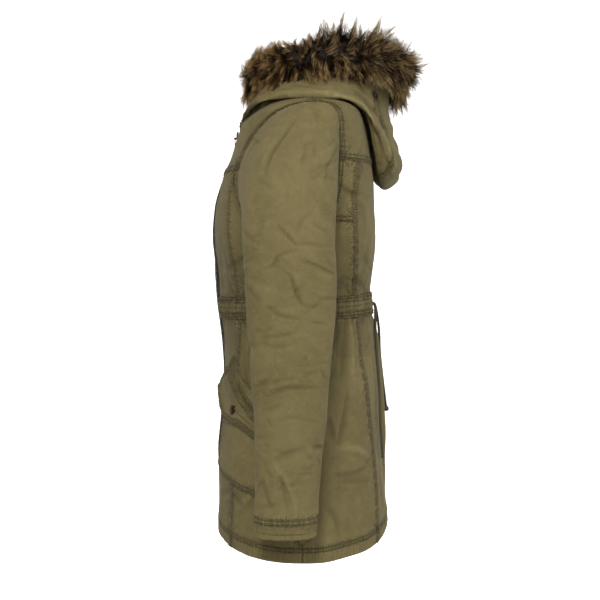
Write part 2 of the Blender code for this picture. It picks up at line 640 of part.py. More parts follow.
def hood_profile(folded):
    """The radius and height of each stop along the hood, from the neck seam to the edge."""
    row = {f: column(HOOD, f, folded, "azimuth") for f in Hood._fields[1:]}
    width = row["out_r"] - row["in_r"]
    drop = row["low_z"] - row["over_z"]
    lift = row["out_z"] - row["low_z"]
    return [
        neck_seam(folded),
        (row["over_r"], row["over_z"]),
        (row["in_r"] - 0.25 * (row["in_r"] - row["over_r"]), row["over_z"] + 0.30 * drop),
        (row["in_r"] + 0.02 * width, row["over_z"] + 0.75 * drop),
        (row["in_r"] + 0.15 * width, row["over_z"] + 0.96 * drop),
        (row["in_r"] + 0.48 * width, row["low_z"]),
        (row["out_r"] - 0.10 * width, row["low_z"] + 0.40 * lift),
        (row["out_r"], row["out_z"]),
        (row["waist_r"], row["waist_z"]),
        (row["edge_r"], row["edge_z"]),
    ]


def hood(azimuth, along):
    """A point of the hood, along from the neck seam, 0, to the edge, 1."""
    azimuth, along = np.broadcast_arrays(np.asarray(azimuth, float), np.asarray(along, float))
    folded = np.minimum(azimuth, 360 - azimuth)
    turn = np.radians(azimuth)
    stops = np.stack([
        np.stack([r * np.sin(turn), HOOD_AXIS_Y - r * np.cos(turn), z], axis=-1)
        for r, z in hood_profile(folded)
    ])
    t = along * (len(stops) - 1)
    at = np.clip(np.floor(t).astype(int), 0, len(stops) - 2)
    f = (t - at)[..., None]
    grid = np.indices(at.shape)
    p0, p1, p2, p3 = (stops[(np.clip(at + k, 0, len(stops) - 1), *grid)] for k in (-1, 0, 1, 2))
    return blend_through(p0, p1, p2, p3, f)


def hood_normal(azimuth, along):
    along = np.clip(np.asarray(along, float), 0.012, 0.988)
    return normals_of(hood, np.asarray(azimuth, float), along, 0.5, 0.01)


def hood_front_azimuth():
    return math.degrees(math.atan2(HOOD_FRONT_HALF, HOOD_AXIS_Y - BODY[-1].front))


def make_hood(cloth):
    along = np.linspace(0, 1, 16)[None]
    side = np.linspace(hood_front_azimuth(), HOOD_SEAM_AZIMUTH, 13)[:, None]
    centre = np.linspace(HOOD_SEAM_AZIMUTH, 360 - HOOD_SEAM_AZIMUTH, 9)[:, None]

    def shell(azimuths, edges):
        outer = hood(azimuths, along)
        inner = outer - hood_normal(*np.broadcast_arrays(azimuths, along)) * CLOTH
        return inset(outer, edges), inset(inner, edges)

    outer, inner = shell(side, ("u1", "v0"))
    for name, way in (("hood_left", 1), ("hood_right", -1)):
        turned = np.array([way, 1, 1])
        wall(name, outer * turned, inner * turned, cloth)
    outer, inner = shell(centre, ("u0", "u1", "v0"))
    wall("hood_centre", outer, inner, cloth)


def fur_section(azimuth, turn):
    """A point of the fur's outside, round the hood by azimuth and round the roll by turn, from 0 to 1."""
    azimuth, turn = np.broadcast_arrays(np.asarray(azimuth, float), np.asarray(turn, float))
    folded = np.minimum(azimuth, 360 - azimuth)
    row = {f: column(FUR, f, folded, "azimuth") for f in Fur._fields[1:]}
    edge_r = column(HOOD, "edge_r", folded, "azimuth")
    edge_z = column(HOOD, "edge_z", folded, "azimuth")
    width, rise = row["out_r"] - row["in_r"], row["top_z"] - edge_z
    stops = np.stack([
        np.stack([r, z], axis=-1)
        for r, z in (
            (row["out_r"], row["out_z"]),
            (row["out_r"] - 0.14 * width, row["out_z"] + 0.62 * (row["top_z"] - row["out_z"])),
            (row["in_r"] + 0.52 * width, row["top_z"]),
            (row["in_r"] + 0.20 * width, row["top_z"] - 0.12 * rise),
            (row["in_r"], edge_z + 0.52 * rise),
            (row["in_r"] + 0.06 * width, edge_z + 0.24 * rise),
            (edge_r - 12, edge_z + 5),
            (edge_r + 2, edge_z + 4),
            (row["low_r"], row["low_z"]),
            (row["under_r"], row["low_z"] + 0.45 * (row["out_z"] - row["low_z"])),
        )
    ])
    count = len(stops)
    at = np.floor(turn * count).astype(int)
    f = (turn * count - at)[..., None]
    grid = np.indices(at.shape)
    p0, p1, p2, p3 = (stops[((at + k) % count, *grid)] for k in (-1, 0, 1, 2))
    place_on = blend_through(p0, p1, p2, p3, f)
    middle = stops.mean(axis=0)
    free = eased((place_on[..., 1] - edge_z - 6) / (0.4 * rise))[..., None]
    tuft = np.sin(np.radians(azimuth * FUR_TUFTS + 500 * turn))[..., None] * FUR_TUFT_SHARE
    r, z = np.moveaxis(middle + (place_on - middle) * (1 + tuft * free), -1, 0)
    a = np.radians(azimuth)
    return np.stack([r * np.sin(a), HOOD_AXIS_Y - r * np.cos(a), z], axis=-1)


def make_fur(fur):
    azimuth = np.linspace(0, 360, 60, endpoint=False)[:, None]
    turn = np.linspace(0, 1, 12, endpoint=False)[None]
    grid = fur_section(azimuth, turn)
    nu, nv = grid.shape[:2]
    number = np.arange(nu * nv).reshape(nu, nv)
    faces = [
        (number[i, k], number[(i + 1) % nu, k], number[(i + 1) % nu, (k + 1) % nv], number[i, (k + 1) % nv])
        for i in range(nu)
        for k in range(nv)
    ]
    return add_object("fur_trim", grid.reshape(-1, 3), faces, fur)


def zip_front(level, x, out):
    """A point over the closed front, that far to the side and out."""
    angle = zip_angle(level)
    base = body(angle, level, 0.0)
    proud = smooth_through([p[0] for p in ZIP_PROUD], [p[1] for p in ZIP_PROUD], level)
    normal = body_normal(np.zeros(np.shape(level)), level)
    ridge = 1 - (np.abs(x) / ZIP_HALF) ** 2
    point = np.stack([np.full(np.shape(level), x), base[..., 1], base[..., 2]], axis=-1)
    return point + normal * (out + proud * (0.15 + 0.85 * ridge))[..., None]


def make_zip(tape):
    levels = np.linspace(HEM + 8, NECK - 4, 25)
    columns = [SEAM_GAP / 2, ZIP_HALF / 2, ZIP_HALF - SEAM_GAP / 4]
    outer = np.stack([zip_front(levels, x, 0.0) for x in columns])
    inner = np.stack([zip_front(levels, x, -CLOTH - 0.6) for x in columns])
    wall("zip_tape_left", outer, inner, tape)
    wall("zip_tape_right", outer * np.array([-1, 1, 1]), inner * np.array([-1, 1, 1]), tape)


def patch_place(top, low, along, down):
    """Angle and level at a share along a patch and a share down it."""
    first = curve_through(top, np.asarray(along, float) * (len(top) - 1))
    second = curve_through(low, np.asarray(along, float) * (len(low) - 1))
    down = np.asarray(down, float)[..., None]
    return first * (1 - down) + second * down


def patch(name, place_at, lift, columns, rows, material, mirror):
    """A cloth piece that lies on the body: lift gives its inner face's distance from the body."""
    along, down = np.meshgrid(np.linspace(0, 1, columns + 1), np.linspace(0, 1, rows + 1), indexing="ij")
    place_on = place_at(along, down)
    angle = mirrored(place_on[..., 0]) if mirror else place_on[..., 0]
    inner = body(angle, place_on[..., 1], lift(along, down))
    outer = body(angle, place_on[..., 1], lift(along, down) + PATCH)
    return wall(name, outer, inner, material)


def pocket_place(along, down):
    return patch_place(POCKET_TOP, POCKET_LOW, along, down)


def pocket_lift(along, down):
    return POCKET_GAP + POCKET_SWELL * (np.sin(np.pi * along) * np.sin(np.pi * down)) ** 0.7 * down


def band_place(along, down):
    return patch_place(BAND_TOP, BAND_LOW, along, down)


def flap_place(along, down):
    return patch_place(FLAP_TOP, FLAP_LOW, along, down)


def flap_lift(along, down):
    return FLAP_GAP + FLAP_LIFT * down + FLAP_CORNER_LIFT * down * (1 - along) ** 2


def turned(name, profile, centre, axis, sides, material, ring=False):
    """A profile of radius and height, turned about an axis. With ring, the profile closes on itself."""
    axis = np.asarray(axis, float) / np.linalg.norm(axis)
    helper = np.array([1.0, 0, 0]) if abs(axis[0]) < 0.9 else np.array([0, 1.0, 0])
    first = np.cross(axis, helper)
    first = first / np.linalg.norm(first)
    second = np.cross(axis, first)
    points, faces = [], []
    turn = np.linspace(0, 2 * np.pi, sides, endpoint=False)
    for radius, height in profile:
        for a in turn:
            points.append(centre + axis * height + radius * (np.cos(a) * first + np.sin(a) * second))
    rows = len(profile)
    for k in range(rows if ring else rows - 1):
        for i in range(sides):
            j, n = (i + 1) % sides, (k + 1) % rows
            faces.append((k * sides + i, k * sides + j, n * sides + j, n * sides + i))
    if not ring:
        faces.append(tuple(range(sides))[::-1])
        faces.append(tuple((rows - 1) * sides + i for i in range(sides)))
    return add_object(name, points, faces, material)


def make_pockets(cloth, metal):
    step = 0.01
    for side, mirror in (("left", False), ("right", True)):
        patch(f"pocket_{side}", pocket_place, pocket_lift, 6, 4, cloth, mirror)
        patch(f"pocket_band_{side}", band_place, lambda a, d: POCKET_GAP + 0 * a, 6, 1, cloth, mirror)
        patch(f"pocket_flap_{side}", flap_place, flap_lift, 6, 3, cloth, mirror)

        def outside(along, down):
            spot = flap_place(along, down)
            angle = mirrored(spot[..., 0]) if mirror else spot[..., 0]
            return body(angle, spot[..., 1], flap_lift(along, down) + PATCH)

        here = outside(np.array(SNAP_ALONG), np.array(SNAP_DOWN))
        by_along = outside(np.array(SNAP_ALONG + step), np.array(SNAP_DOWN)) - here
        by_down = outside(np.array(SNAP_ALONG), np.array(SNAP_DOWN + step)) - here
        facing = np.cross(by_down, by_along) * (-1 if mirror else 1)
        facing = facing / np.linalg.norm(facing)
        profile = [(SNAP_RADIUS * 0.94, 0.6), (SNAP_RADIUS, 1.2), (SNAP_RADIUS * 0.86, SNAP_HEIGHT * 0.75),
                   (SNAP_RADIUS * 0.5, SNAP_HEIGHT + 0.3)]
        turned(f"snap_{side}", profile, here, facing, 12, metal)


def cord_route(places):
    """Points of the cord's centre, evenly spaced between its places."""
    angle, level, out = np.array(places, float).T
    at = body(angle, level, out)
    fine = curve_through(at, np.linspace(0, len(at) - 1, 400))
    run = np.concatenate([[0], np.cumsum(np.linalg.norm(np.diff(fine, axis=0), axis=1))])
    near = np.linspace(0, 22, 9)
    far = np.linspace(22, run[-1], int((run[-1] - 22) / CORD_STEP) + 2)[1:]
    want = np.concatenate([near, far])
    return np.stack([np.interp(want, run, fine[:, i]) for i in range(3)], axis=-1)


def make_cord(name, route, material):
    curve = bpy.data.curves.new(name, "CURVE")
    curve.dimensions = "3D"
    curve.bevel_depth = CORD_DIAMETER / 2 * MM
    curve.bevel_resolution = 2
    curve.use_fill_caps = True
    spline = curve.splines.new("POLY")
    spline.points.add(len(route) - 1)
    for point, at in zip(spline.points, route):
        point.co = (*(at * MM), 1)
    curve.materials.append(material)
    thing = bpy.data.objects.new(name, curve)
    bpy.context.scene.collection.objects.link(thing)
    return thing


def make_cords(cord_material, bead_material, metal):
    ends = (
        ("left", CORD_LEFT, KNOT_RADIUS, KNOT_LENGTH, KNOT_SIDES, "drawcord_knot_left"),
        ("right", CORD_RIGHT, BEAD_RADIUS, BEAD_LENGTH, BEAD_SIDES, "drawcord_bead_right"),
    )
    for side, places, radius, length, sides, end_name in ends:
        route = cord_route(places)
        make_cord(f"drawcord_{side}", route, cord_material)
        way = route[-1] - route[-2]
        way = way / np.linalg.norm(way)
        profile = [(radius * 0.6, SEAM_GAP), (radius, length * 0.25),
                   (radius, length * 0.75), (radius * 0.6, length)]
        turned(end_name, profile, route[-1], way, sides, bead_material)
        angle = places[0].angle
        at = body(np.array(angle), np.array(EYELET_LEVEL), EYELET_OUT)
        facing = body_normal(np.array(angle), np.array(EYELET_LEVEL))
        make_eyelet(f"drawcord_eyelet_{side}", at, facing, metal)


def make_eyelet(name, at, facing, metal):
    middle = (EYELET_OUTER + EYELET_INNER) / 2
    profile = [(EYELET_INNER, 0), (EYELET_OUTER, 0), (EYELET_OUTER - 0.5, EYELET_HEIGHT * 0.7),
               (middle, EYELET_HEIGHT), (EYELET_INNER, EYELET_HEIGHT * 0.7)]
    turned(name, profile, at, facing, EYELET_SIDES, metal, ring=True)


def make_hood_eyelets(metal):
    for side, azimuth in (("left", HOOD_EYELET_AZIMUTH), ("right", 360 - HOOD_EYELET_AZIMUTH)):
        facing = hood_normal(np.array(azimuth), np.array(HOOD_EYELET_ALONG))
        at = hood(np.array(azimuth), np.array(HOOD_EYELET_ALONG)) + facing * HOOD_EYELET_OUT
        make_eyelet(f"hood_eyelet_{side}", at, facing, metal)


def box_between(low, high, name, material):
    (x0, y0, z0), (x1, y1, z1) = low, high
    points = [(x, y, z) for x in (x0, x1) for y in (y0, y1) for z in (z0, z1)]
    faces = [(0, 1, 3, 2), (4, 6, 7, 5), (0, 4, 5, 1), (2, 3, 7, 6), (0, 2, 6, 4), (1, 5, 7, 3)]
    return add_object(name, points, faces, material, smooth=False)


def join_to(base, tools):
    """Makes solids one with a solid, and removes them."""
    for tool in tools:
        modifier = base.modifiers.new("join", "BOOLEAN")
        modifier.operation = "UNION"
        modifier.solver = "EXACT"
        modifier.object = tool
        graph = bpy.context.evaluated_depsgraph_get()
        mesh = bpy.data.meshes.new_from_object(base.evaluated_get(graph))
        base.modifiers.remove(modifier)
        base.data = mesh
        bpy.data.objects.remove(tool)
    return base


def make_slider(metal):
    """The slider at the top of the zip, and the tab that swings on its pin."""
    base = zip_front(np.array([float(SLIDER_LEVEL)]), 0.0, 0.0)[0]
    y0, z0 = base[1] - SLIDER_LIFT, base[2]
    points = []
    for row in SLIDER:
        half, deep = row.half_width, SLIDER_DEPTH * row.depth_share
        outline = [(-half, y0), (half, y0), (half, y0 - deep * 0.6), (half * 0.65, y0 - deep),
                   (-half * 0.65, y0 - deep), (-half, y0 - deep * 0.6)]
        points += [(x, y, z0 + row.rise) for x, y in outline]
    corners = len(outline)
    last = len(points) - corners
    faces = [tuple(range(corners)), tuple(range(last, last + corners))[::-1]]
    for k in range(len(SLIDER) - 1):
        for i in range(corners):
            j = (i + 1) % corners
            faces.append((k * corners + i, (k + 1) * corners + i, (k + 1) * corners + j, k * corners + j))
    slider = add_object("zip_slider", points, faces, metal, smooth=False)
    pin_y, pin_z = y0 - SLIDER_DEPTH - PIN_OUT, z0 - PIN_DOWN
    lugs = [
        box_between((way * LUG_OUTER, y0 - SLIDER_DEPTH - LUG_TIP, pin_z - LUG_HALF_HEIGHT),
                    (way * LUG_INNER, y0 - SLIDER_DEPTH + LUG_ROOT, pin_z + LUG_HALF_HEIGHT), "lug", metal)
        for way in (1, -1)
    ]
    pin_half = LUG_OUTER - SEAM_GAP
    pin_centre = np.array([0, pin_y, pin_z])
    pin = turned("pin", [(PIN_RADIUS, -pin_half), (PIN_RADIUS, pin_half)], pin_centre, (1, 0, 0), 12, metal)
    join_to(slider, [*lugs, pin])
    barrel_half, barrel = LUG_INNER - SEAM_GAP, PIN_HOLE + BARREL_WALL
    barrel_profile = [(PIN_HOLE, -barrel_half), (barrel, -barrel_half),
                      (barrel, barrel_half), (PIN_HOLE, barrel_half)]
    tab = turned("zip_pull_tab", barrel_profile, pin_centre, (1, 0, 0), 16, metal, ring=True)
    top = pin_z - PIN_HOLE - 0.3
    low = top - TAB_LENGTH
    right = [(barrel_half, top), (barrel_half, top - 2.5), (TAB_HALF_WIDTH, top - 5),
             (TAB_HALF_WIDTH, low + 2), (TAB_TIP_HALF, low)]
    outline = right + [(-x, z) for x, z in right[::-1]]
    count = len(outline)
    points = [(x, pin_y + way * TAB_THICK / 2, z) for way in (-1, 1) for x, z in outline]
    faces = [tuple(range(count)), tuple(range(count, 2 * count))[::-1]]
    faces += [(i, count + i, count + (i + 1) % count, (i + 1) % count) for i in range(count)]
    plate = add_object("plate", points, faces, metal, smooth=False)
    join_to(tab, [plate])


ARMHOLE_PLACES = place([p.y for p in ARMHOLE], [p.z for p in ARMHOLE])


def build():
    clear_scene()
    cloth = make_material("olive cotton twill", (0.175, 0.150, 0.065), 0.85)
    fur = make_material("brown pile fur", (0.13, 0.075, 0.032), 0.9)
    tape = make_material("black zip tape", (0.012, 0.011, 0.010), 0.7)
    metal = make_material("dark bronze", (0.05, 0.036, 0.022), 0.4, 1.0)
    cord_material = make_material("dark olive cord", (0.035, 0.033, 0.018), 0.8)
    bead_material = make_material("dark green plastic", (0.02, 0.03, 0.02), 0.4)
    make_upper_body(cloth)
    make_casing(cloth)
    make_skirt(cloth)
    make_sleeves(cloth)
    make_hood(cloth)
    make_fur(fur)
    make_zip(tape)
    make_slider(metal)
    make_pockets(cloth, metal)
    make_cords(cord_material, bead_material, metal)
    make_hood_eyelets(metal)


build()
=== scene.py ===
# Fur trimmed parka, worn but empty, with its hood thrown back.
# The front faces -Y, the wearer's left is +X and +Z is up. Sizes below are in millimetres and degrees,
# and the meshes are in metres.

import math
from functools import partial

import bpy
import numpy as np
from mathutils import Matrix


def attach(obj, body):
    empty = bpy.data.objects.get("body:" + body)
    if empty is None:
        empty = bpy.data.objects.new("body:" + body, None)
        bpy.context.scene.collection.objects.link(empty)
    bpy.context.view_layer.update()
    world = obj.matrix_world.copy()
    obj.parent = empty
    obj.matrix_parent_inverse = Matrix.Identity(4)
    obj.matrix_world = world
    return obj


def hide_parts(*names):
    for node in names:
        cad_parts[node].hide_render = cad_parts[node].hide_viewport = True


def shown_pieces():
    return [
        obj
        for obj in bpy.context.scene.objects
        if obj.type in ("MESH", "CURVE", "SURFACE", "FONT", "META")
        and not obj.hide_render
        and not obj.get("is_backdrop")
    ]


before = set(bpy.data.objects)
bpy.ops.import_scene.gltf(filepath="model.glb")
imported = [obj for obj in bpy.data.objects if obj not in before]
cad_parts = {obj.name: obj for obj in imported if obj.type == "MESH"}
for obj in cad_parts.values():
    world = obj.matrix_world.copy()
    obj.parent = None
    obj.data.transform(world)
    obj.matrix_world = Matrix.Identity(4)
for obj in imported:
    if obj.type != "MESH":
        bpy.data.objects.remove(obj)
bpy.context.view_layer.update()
scene = bpy.context.scene
mm = 0.001


# Curves through tables of points
def smoothThrough(xs, ys, x, flat=False):
    # a curve through the points that never swings past them; flat makes its ends level
    xs, ys = np.asarray(xs, float), np.asarray(ys, float)
    step = np.diff(xs)
    slope = np.diff(ys) / step
    tangent = np.zeros(len(xs))
    if not flat:
        tangent[0], tangent[-1] = slope[0], slope[-1]
    for i in range(1, len(xs) - 1):
        if slope[i - 1] * slope[i] > 0:
            before, after = 2 * step[i] + step[i - 1], step[i] + 2 * step[i - 1]
            tangent[i] = (before + after) / (before / slope[i - 1] + after / slope[i])
    x = np.clip(np.asarray(x, float), xs[0], xs[-1])
    at = np.clip(np.searchsorted(xs, x, side="right") - 1, 0, len(step) - 1)
    t = (x - xs[at]) / step[at]
    h = step[at]
    return (ys[at] * (1 + 2 * t) * (1 - t) ** 2 + ys[at + 1] * t * t * (3 - 2 * t) + tangent[at] * h * t
        * (1 - t) ** 2 - tangent[at + 1] * h * t * t * (1 - t))


def blendThrough(p0, p1, p2, p3, f):
    square = 2 * p0 - 5 * p1 + 4 * p2 - p3
    cube = 3 * p1 - p0 - 3 * p2 + p3
    return 0.5 * (2 * p1 + (p2 - p0) * f + square * f**2 + cube * f**3)


def curveThrough(points, t, closed=False):
    # points are one line, or a stack of grids with a line through each of their places
    points, t = np.asarray(points, float), np.asarray(t, float)
    count, at = len(points), np.floor(t).astype(int)
    at = at if closed else np.clip(at, 0, count - 2)
    pick = [(at + k) % count if closed else np.clip(at + k, 0, count - 1) for k in (-1, 0, 1, 2)]
    grid = tuple(np.indices(at.shape)) if points.ndim > 2 else ()
    return blendThrough(*(points[(i, *grid)] for i in pick), (t - at)[..., None])


def eased(x):
    x = np.clip(x, 0, 1)
    return x * x * (3 - 2 * x)


def hump(away, wide):
    # 1 in the middle, fading on both sides
    return np.exp(-((away / wide) ** 2))


def unevenness(points, pitch, seed):
    # soft unevenness of cloth, from -1 to 1: one random number at each corner of a box lattice
    lattice = np.random.default_rng(seed).uniform(-1, 1, (32, 32, 32))
    q = points / np.asarray(pitch, float)
    at = np.floor(q).astype(int)
    f = q - at
    f = f * f * (3 - 2 * f)
    total = np.zeros(points.shape[:-1])
    for i in (0, 1):
        for j in (0, 1):
            for k in (0, 1):
                share = (np.where(i, f[..., 0], 1 - f[..., 0]) * np.where(j, f[..., 1], 1 - f[..., 1])
                    * np.where(k, f[..., 2], 1 - f[..., 2]))
                total += share * lattice[(at[..., 0] + i) % 32, (at[..., 1] + j) % 32, (at[..., 2] + k) % 32]
    return total


def lengthAlong(points):
    return np.concatenate([[0], np.cumsum(np.linalg.norm(np.diff(points, axis=0), axis=1))])


def pointsAlong(points, run, want):
    # places on a line of points, where run says how far along it each of them lies
    return np.stack([np.interp(want, run, points[:, i]) for i in range(points.shape[1])], axis=-1)


def unit(v):
    return v / np.maximum(np.linalg.norm(v, axis=-1, keepdims=True), 1e-9)


# The body's form
bodyCut = {
    "hem": -698, "casingLow": -366, "casingTop": -334, "neck": -61,
    "zipHalf": 7.0, "sideSeam": 92, "princess": 53,
    # level, side_z, back_z, half width, front, back, side_y and how square the ring is
    "rings": [
        (-698, -715, -697, 213, -132, 143, -4, 2.25), (-640, -646, -640, 205, -131, 139, -4, 2.3),
        (-590, -592, -590, 197, -130, 132, -5, 2.4), (-530, -531, -530, 186, -125, 128, -6, 2.4),
        (-470, -470, -470, 174, -121, 124, -7, 2.5), (-410, -410, -410, 160, -122, 118, -8, 2.5),
        (-366, -361, -359, 152, -125, 114, -8, 2.5), (-334, -329, -326, 152, -128, 113, -8, 2.5),
        (-290, -290, -290, 166, -131, 117, -8, 2.6), (-233, -233, -233, 182, -137, 120, -8, 2.7),
        (-190, -190, -190, 186, -134, 119, -5, 2.8), (-160, -158, -158, 188, -127, 118, 0, 2.9),
        (-137, -128, -128, 187, -119, 115, 6, 3.0), (-118, -92, -96, 187, -110, 110, 16, 2.9),
        (-100, -45, -62, 186, -103, 101, 24, 2.6), (-80, -25, -30, 130, -98, 83, 14, 2.3),
        (-61, 0, -6, 78, -97, 62, -4, 2.1),
    ],
    "sideBackSeam": [(-698, 132), (-580, 135), (-480, 132), (-386, 130), (-326, 126), (-238, 120), (-135, 115)],
    # y and z of the left armhole seen from its side, from the shoulder round by the front
    "armhole": [(22, -41), (-8, -45), (-44, -63), (-74, -98), (-91, -138), (-89, -180), (-62, -217),
                (-10, -236), (30, -216), (50, -175), (56, -125), (57, -90), (55, -60), (42, -44)],
    "atFrontYoke": 4, "atUnderarm": 7, "atSideTop": 8, "atBackYoke": 10,
    # large soft folds: angle, top, bottom, spread, height, lean, soft top, soft bottom
    "folds": [
        (186, -345, -690, 6, 11, 1, 60, 140), (193, -345, -690, 7, 6, 1, 80, 140),
        (177.5, -350, -640, 3.2, -5, 0, 40, 30), (166, -400, -640, 8, 2, 2, 90, 90),
        (150, -345, -520, 7, 4, 5, 30, 90), (136, -350, -470, 5, -4, 4, 30, 60),
        (112, -420, -720, 8, -6, 3, 120, 30), (98, -380, -720, 7, 6, -4, 90, 30),
        (74, -400, -720, 12, -4, 0, 90, 30), (34, -470, -720, 13, 3, -3, 90, 30),
        (205, -350, -720, 8, -5, -3, 90, 30), (222, -352, -640, 7, 4, -3, 60, 90),
        (246, -400, -720, 8, -5, -2, 90, 30), (262, -380, -720, 7, 6, 3, 90, 30),
        (286, -400, -720, 12, -4, 0, 90, 30), (326, -470, -720, 13, 3, 3, 90, 30),
        (113, -160, -236, 4, -4, 4, 30, 30), (247, -160, -236, 4, -4, -4, 30, 30),
        (140, -200, -335, 6, 2, 4, 60, 20), (218, -190, -335, 6, 2, -4, 60, 20),
        (38, -230, -335, 6, -3, 4, 60, 20), (322, -230, -335, 6, -3, -4, 60, 20),
    ],
    # smaller creases: half width, depth, and the places that each runs through
    "creases": [
        (8, -2.6, [(106, -505), (108, -525), (109, -542)]),
        (8, -2.4, [(117, -478), (115, -507), (112, -534), (109, -544)]),
        (7, 1.6, [(112, -554), (121, -560), (132, -577)]), (7, -2.0, [(107, -587), (118, -590), (131, -584)]),
        (6, -1.6, [(109, -600), (118, -604), (129, -610)]), (7, -1.8, [(101, -632), (106, -648), (108, -672)]),
        (9, 2.2, [(71, -575), (67, -622), (59, -650)]), (7, -1.8, [(40, -640), (52, -628), (66, -640)]),
        (9, -1.6, [(28, -520), (26, -570), (30, -630)]), (6, -2.2, [(107, -162), (115, -172), (122, -176)]),
        (6, -1.6, [(120, -186), (127, -204), (130, -236)]), (7, -1.6, [(146, -176), (150, -230), (143, -300)]),
        (8, 1.4, [(160, -180), (166, -240), (161, -310)]), (6, -1.5, [(128, -262), (138, -284), (152, -296)]),
        (6, -1.8, [(118, -300), (130, -314), (141, -326)]), (9, -1.5, [(178, -200), (184, -250), (180, -300)]),
        (6, -2.5, [(114, -370), (112, -385), (110, -404)]), (8, -2.0, [(121, -372), (117, -410), (114, -452)]),
        (8, 1.5, [(126, -372), (124, -410), (123, -470)]), (6, -1.8, [(155, -377), (153, -417), (155, -440)]),
        (8, 1.5, [(160, -380), (161, -430), (164, -500)]), (7, -1.5, [(146, -440), (150, -490), (148, -540)]),
        (8, -1.4, [(168, -560), (160, -610), (163, -660)]), (8, -1.4, [(150, -580), (143, -620), (146, -670)]),
        (8, -1.6, [(202, -380), (206, -430), (203, -500)]), (7, -1.5, [(214, -520), (221, -570), (218, -640)]),
        (8, 1.5, [(235, -380), (238, -430), (233, -500)]), (7, -1.8, [(241, -440), (247, -500), (250, -560)]),
        (7, -1.6, [(228, -585), (240, -596), (252, -590)]), (8, -2.6, [(250, -480), (256, -520), (255, -560)]),
        (7, -1.5, [(266, -590), (262, -630), (258, -680)]), (7, -1.6, [(300, -628), (312, -640), (324, -630)]),
        (9, -1.6, [(334, -500), (330, -560), (333, -640)]), (6, -2.0, [(252, -166), (243, -174), (236, -182)]),
        (7, -1.5, [(232, -200), (226, -250), (230, -300)]), (8, -1.4, [(204, -190), (198, -240), (206, -300)]),
        (7, -1.8, [(70, -250), (62, -270), (46, -286)]), (7, -1.6, [(75, -280), (66, -300), (58, -322)]),
        (8, -1.6, [(20, -180), (26, -220), (22, -280)]), (7, -1.4, [(44, -150), (36, -190), (40, -240)]),
        (7, -1.8, [(292, -252), (300, -274), (313, -288)]), (7, -1.6, [(284, -284), (294, -304), (303, -324)]),
        (8, -1.6, [(341, -170), (335, -220), (339, -285)]), (7, -1.5, [(318, -152), (325, -196), (320, -244)]),
        (8, -1.4, [(12, -400), (16, -450), (14, -520)]), (8, -1.4, [(349, -395), (345, -455), (348, -530)]),
        (8, -1.2, [(150, -138), (166, -128), (186, -132)]), (8, -1.2, [(196, -120), (206, -136), (222, -142)]),
    ],
}
ringTable = np.array(bodyCut["rings"], float)


def ringSize(column, level):
    return smoothThrough(ringTable[:, 0], ringTable[:, column], level)


def plainBody(angle, level):
    # angles run from the front, 0, by the wearer's left, 90, to the back, 180
    angle, level = np.broadcast_arrays(np.asarray(angle, float), np.asarray(level, float))
    turn = np.radians(angle)
    across, ahead = np.sin(turn), np.cos(turn)
    sideZ, backZ, half, front, back, sideY, square = (ringSize(i, level) for i in range(1, 8))
    depth = np.where(ahead > 0, sideY - front, back - sideY)
    reach = (np.abs(across / half) ** square + np.abs(ahead / depth) ** square) ** (-1 / square)
    z = sideZ + (np.where(ahead > 0, level, backZ) - sideZ) * ahead**2
    return np.stack([reach * across, sideY - reach * ahead, z], axis=-1)


def normalsOf(surface, a, b, da, db):
    alongA = surface(a + da, b) - surface(a - da, b)
    alongB = surface(a, b + db) - surface(a, b - db)
    return unit(np.cross(alongA, alongB))


def bodyNormal(angle, level):
    level = np.clip(np.asarray(level, float), bodyCut["hem"] + 1.1, bodyCut["neck"] - 1.1)
    return normalsOf(plainBody, np.asarray(angle, float), level, 0.5, 1.0)


def foldHeight(angle, level):
    height = np.zeros(np.broadcast(angle, level).shape)
    for at, top, bottom, spread, tall, lean, softTop, softBottom in bodyCut["folds"]:
        fade = eased((top - level) / softTop) * eased((level - bottom) / softBottom)
        down = (level - (top + bottom) / 2) / ((top - bottom) / 2)
        away = (angle - at - lean * down + 180) % 360 - 180
        height = height + tall * fade * hump(away, spread)
    return height


# Gathers of the waist casing: unequal in place, height and length, and some lean
gatherSizes = {"seed": 11, "stepLow": 1.3, "stepHigh": 3.4, "lowest": 0.9, "highest": 2.6}


def makeGathers():
    rng = np.random.default_rng(gatherSizes["seed"])
    found, at = [], 4.0
    while at < 356:
        tall = rng.uniform(gatherSizes["lowest"], gatherSizes["highest"])
        found.append((at, tall, rng.uniform(0.5, 0.95), rng.uniform(-1.6, 1.6),
            rng.uniform(7, 34) * rng.choice([0.6, 1.0, 1.5]), rng.uniform(8, 44)))
        at += rng.uniform(gatherSizes["stepLow"], gatherSizes["stepHigh"])
    return found


gatherList = makeGathers()


def gatherHeight(angle, level):
    top, low = bodyCut["casingTop"], bodyCut["casingLow"]
    height = np.zeros(np.broadcast(angle, level).shape)
    near = (level > low - 110) & (level < top + 90)
    if not near.any():
        return height
    a, z = angle[near], level[near]
    total = np.zeros(a.shape)
    for at, tall, spread, lean, up, down in gatherList:
        above, below = np.maximum(z - top, 0), np.maximum(low - z, 0)
        away = a - at - lean * (above - below) / 30
        widen = spread * (1 + above / 60 + below / 70)
        fade = hump(above, up) * hump(below, down)
        total += tall * fade * hump(away, widen)
    height[near] = total - 0.6
    edge = hump(np.maximum(level - top, 0), 22) * hump(np.maximum(low - level, 0), 30)
    return np.where(near, (height + 0.6) - 0.6 * edge, 0)


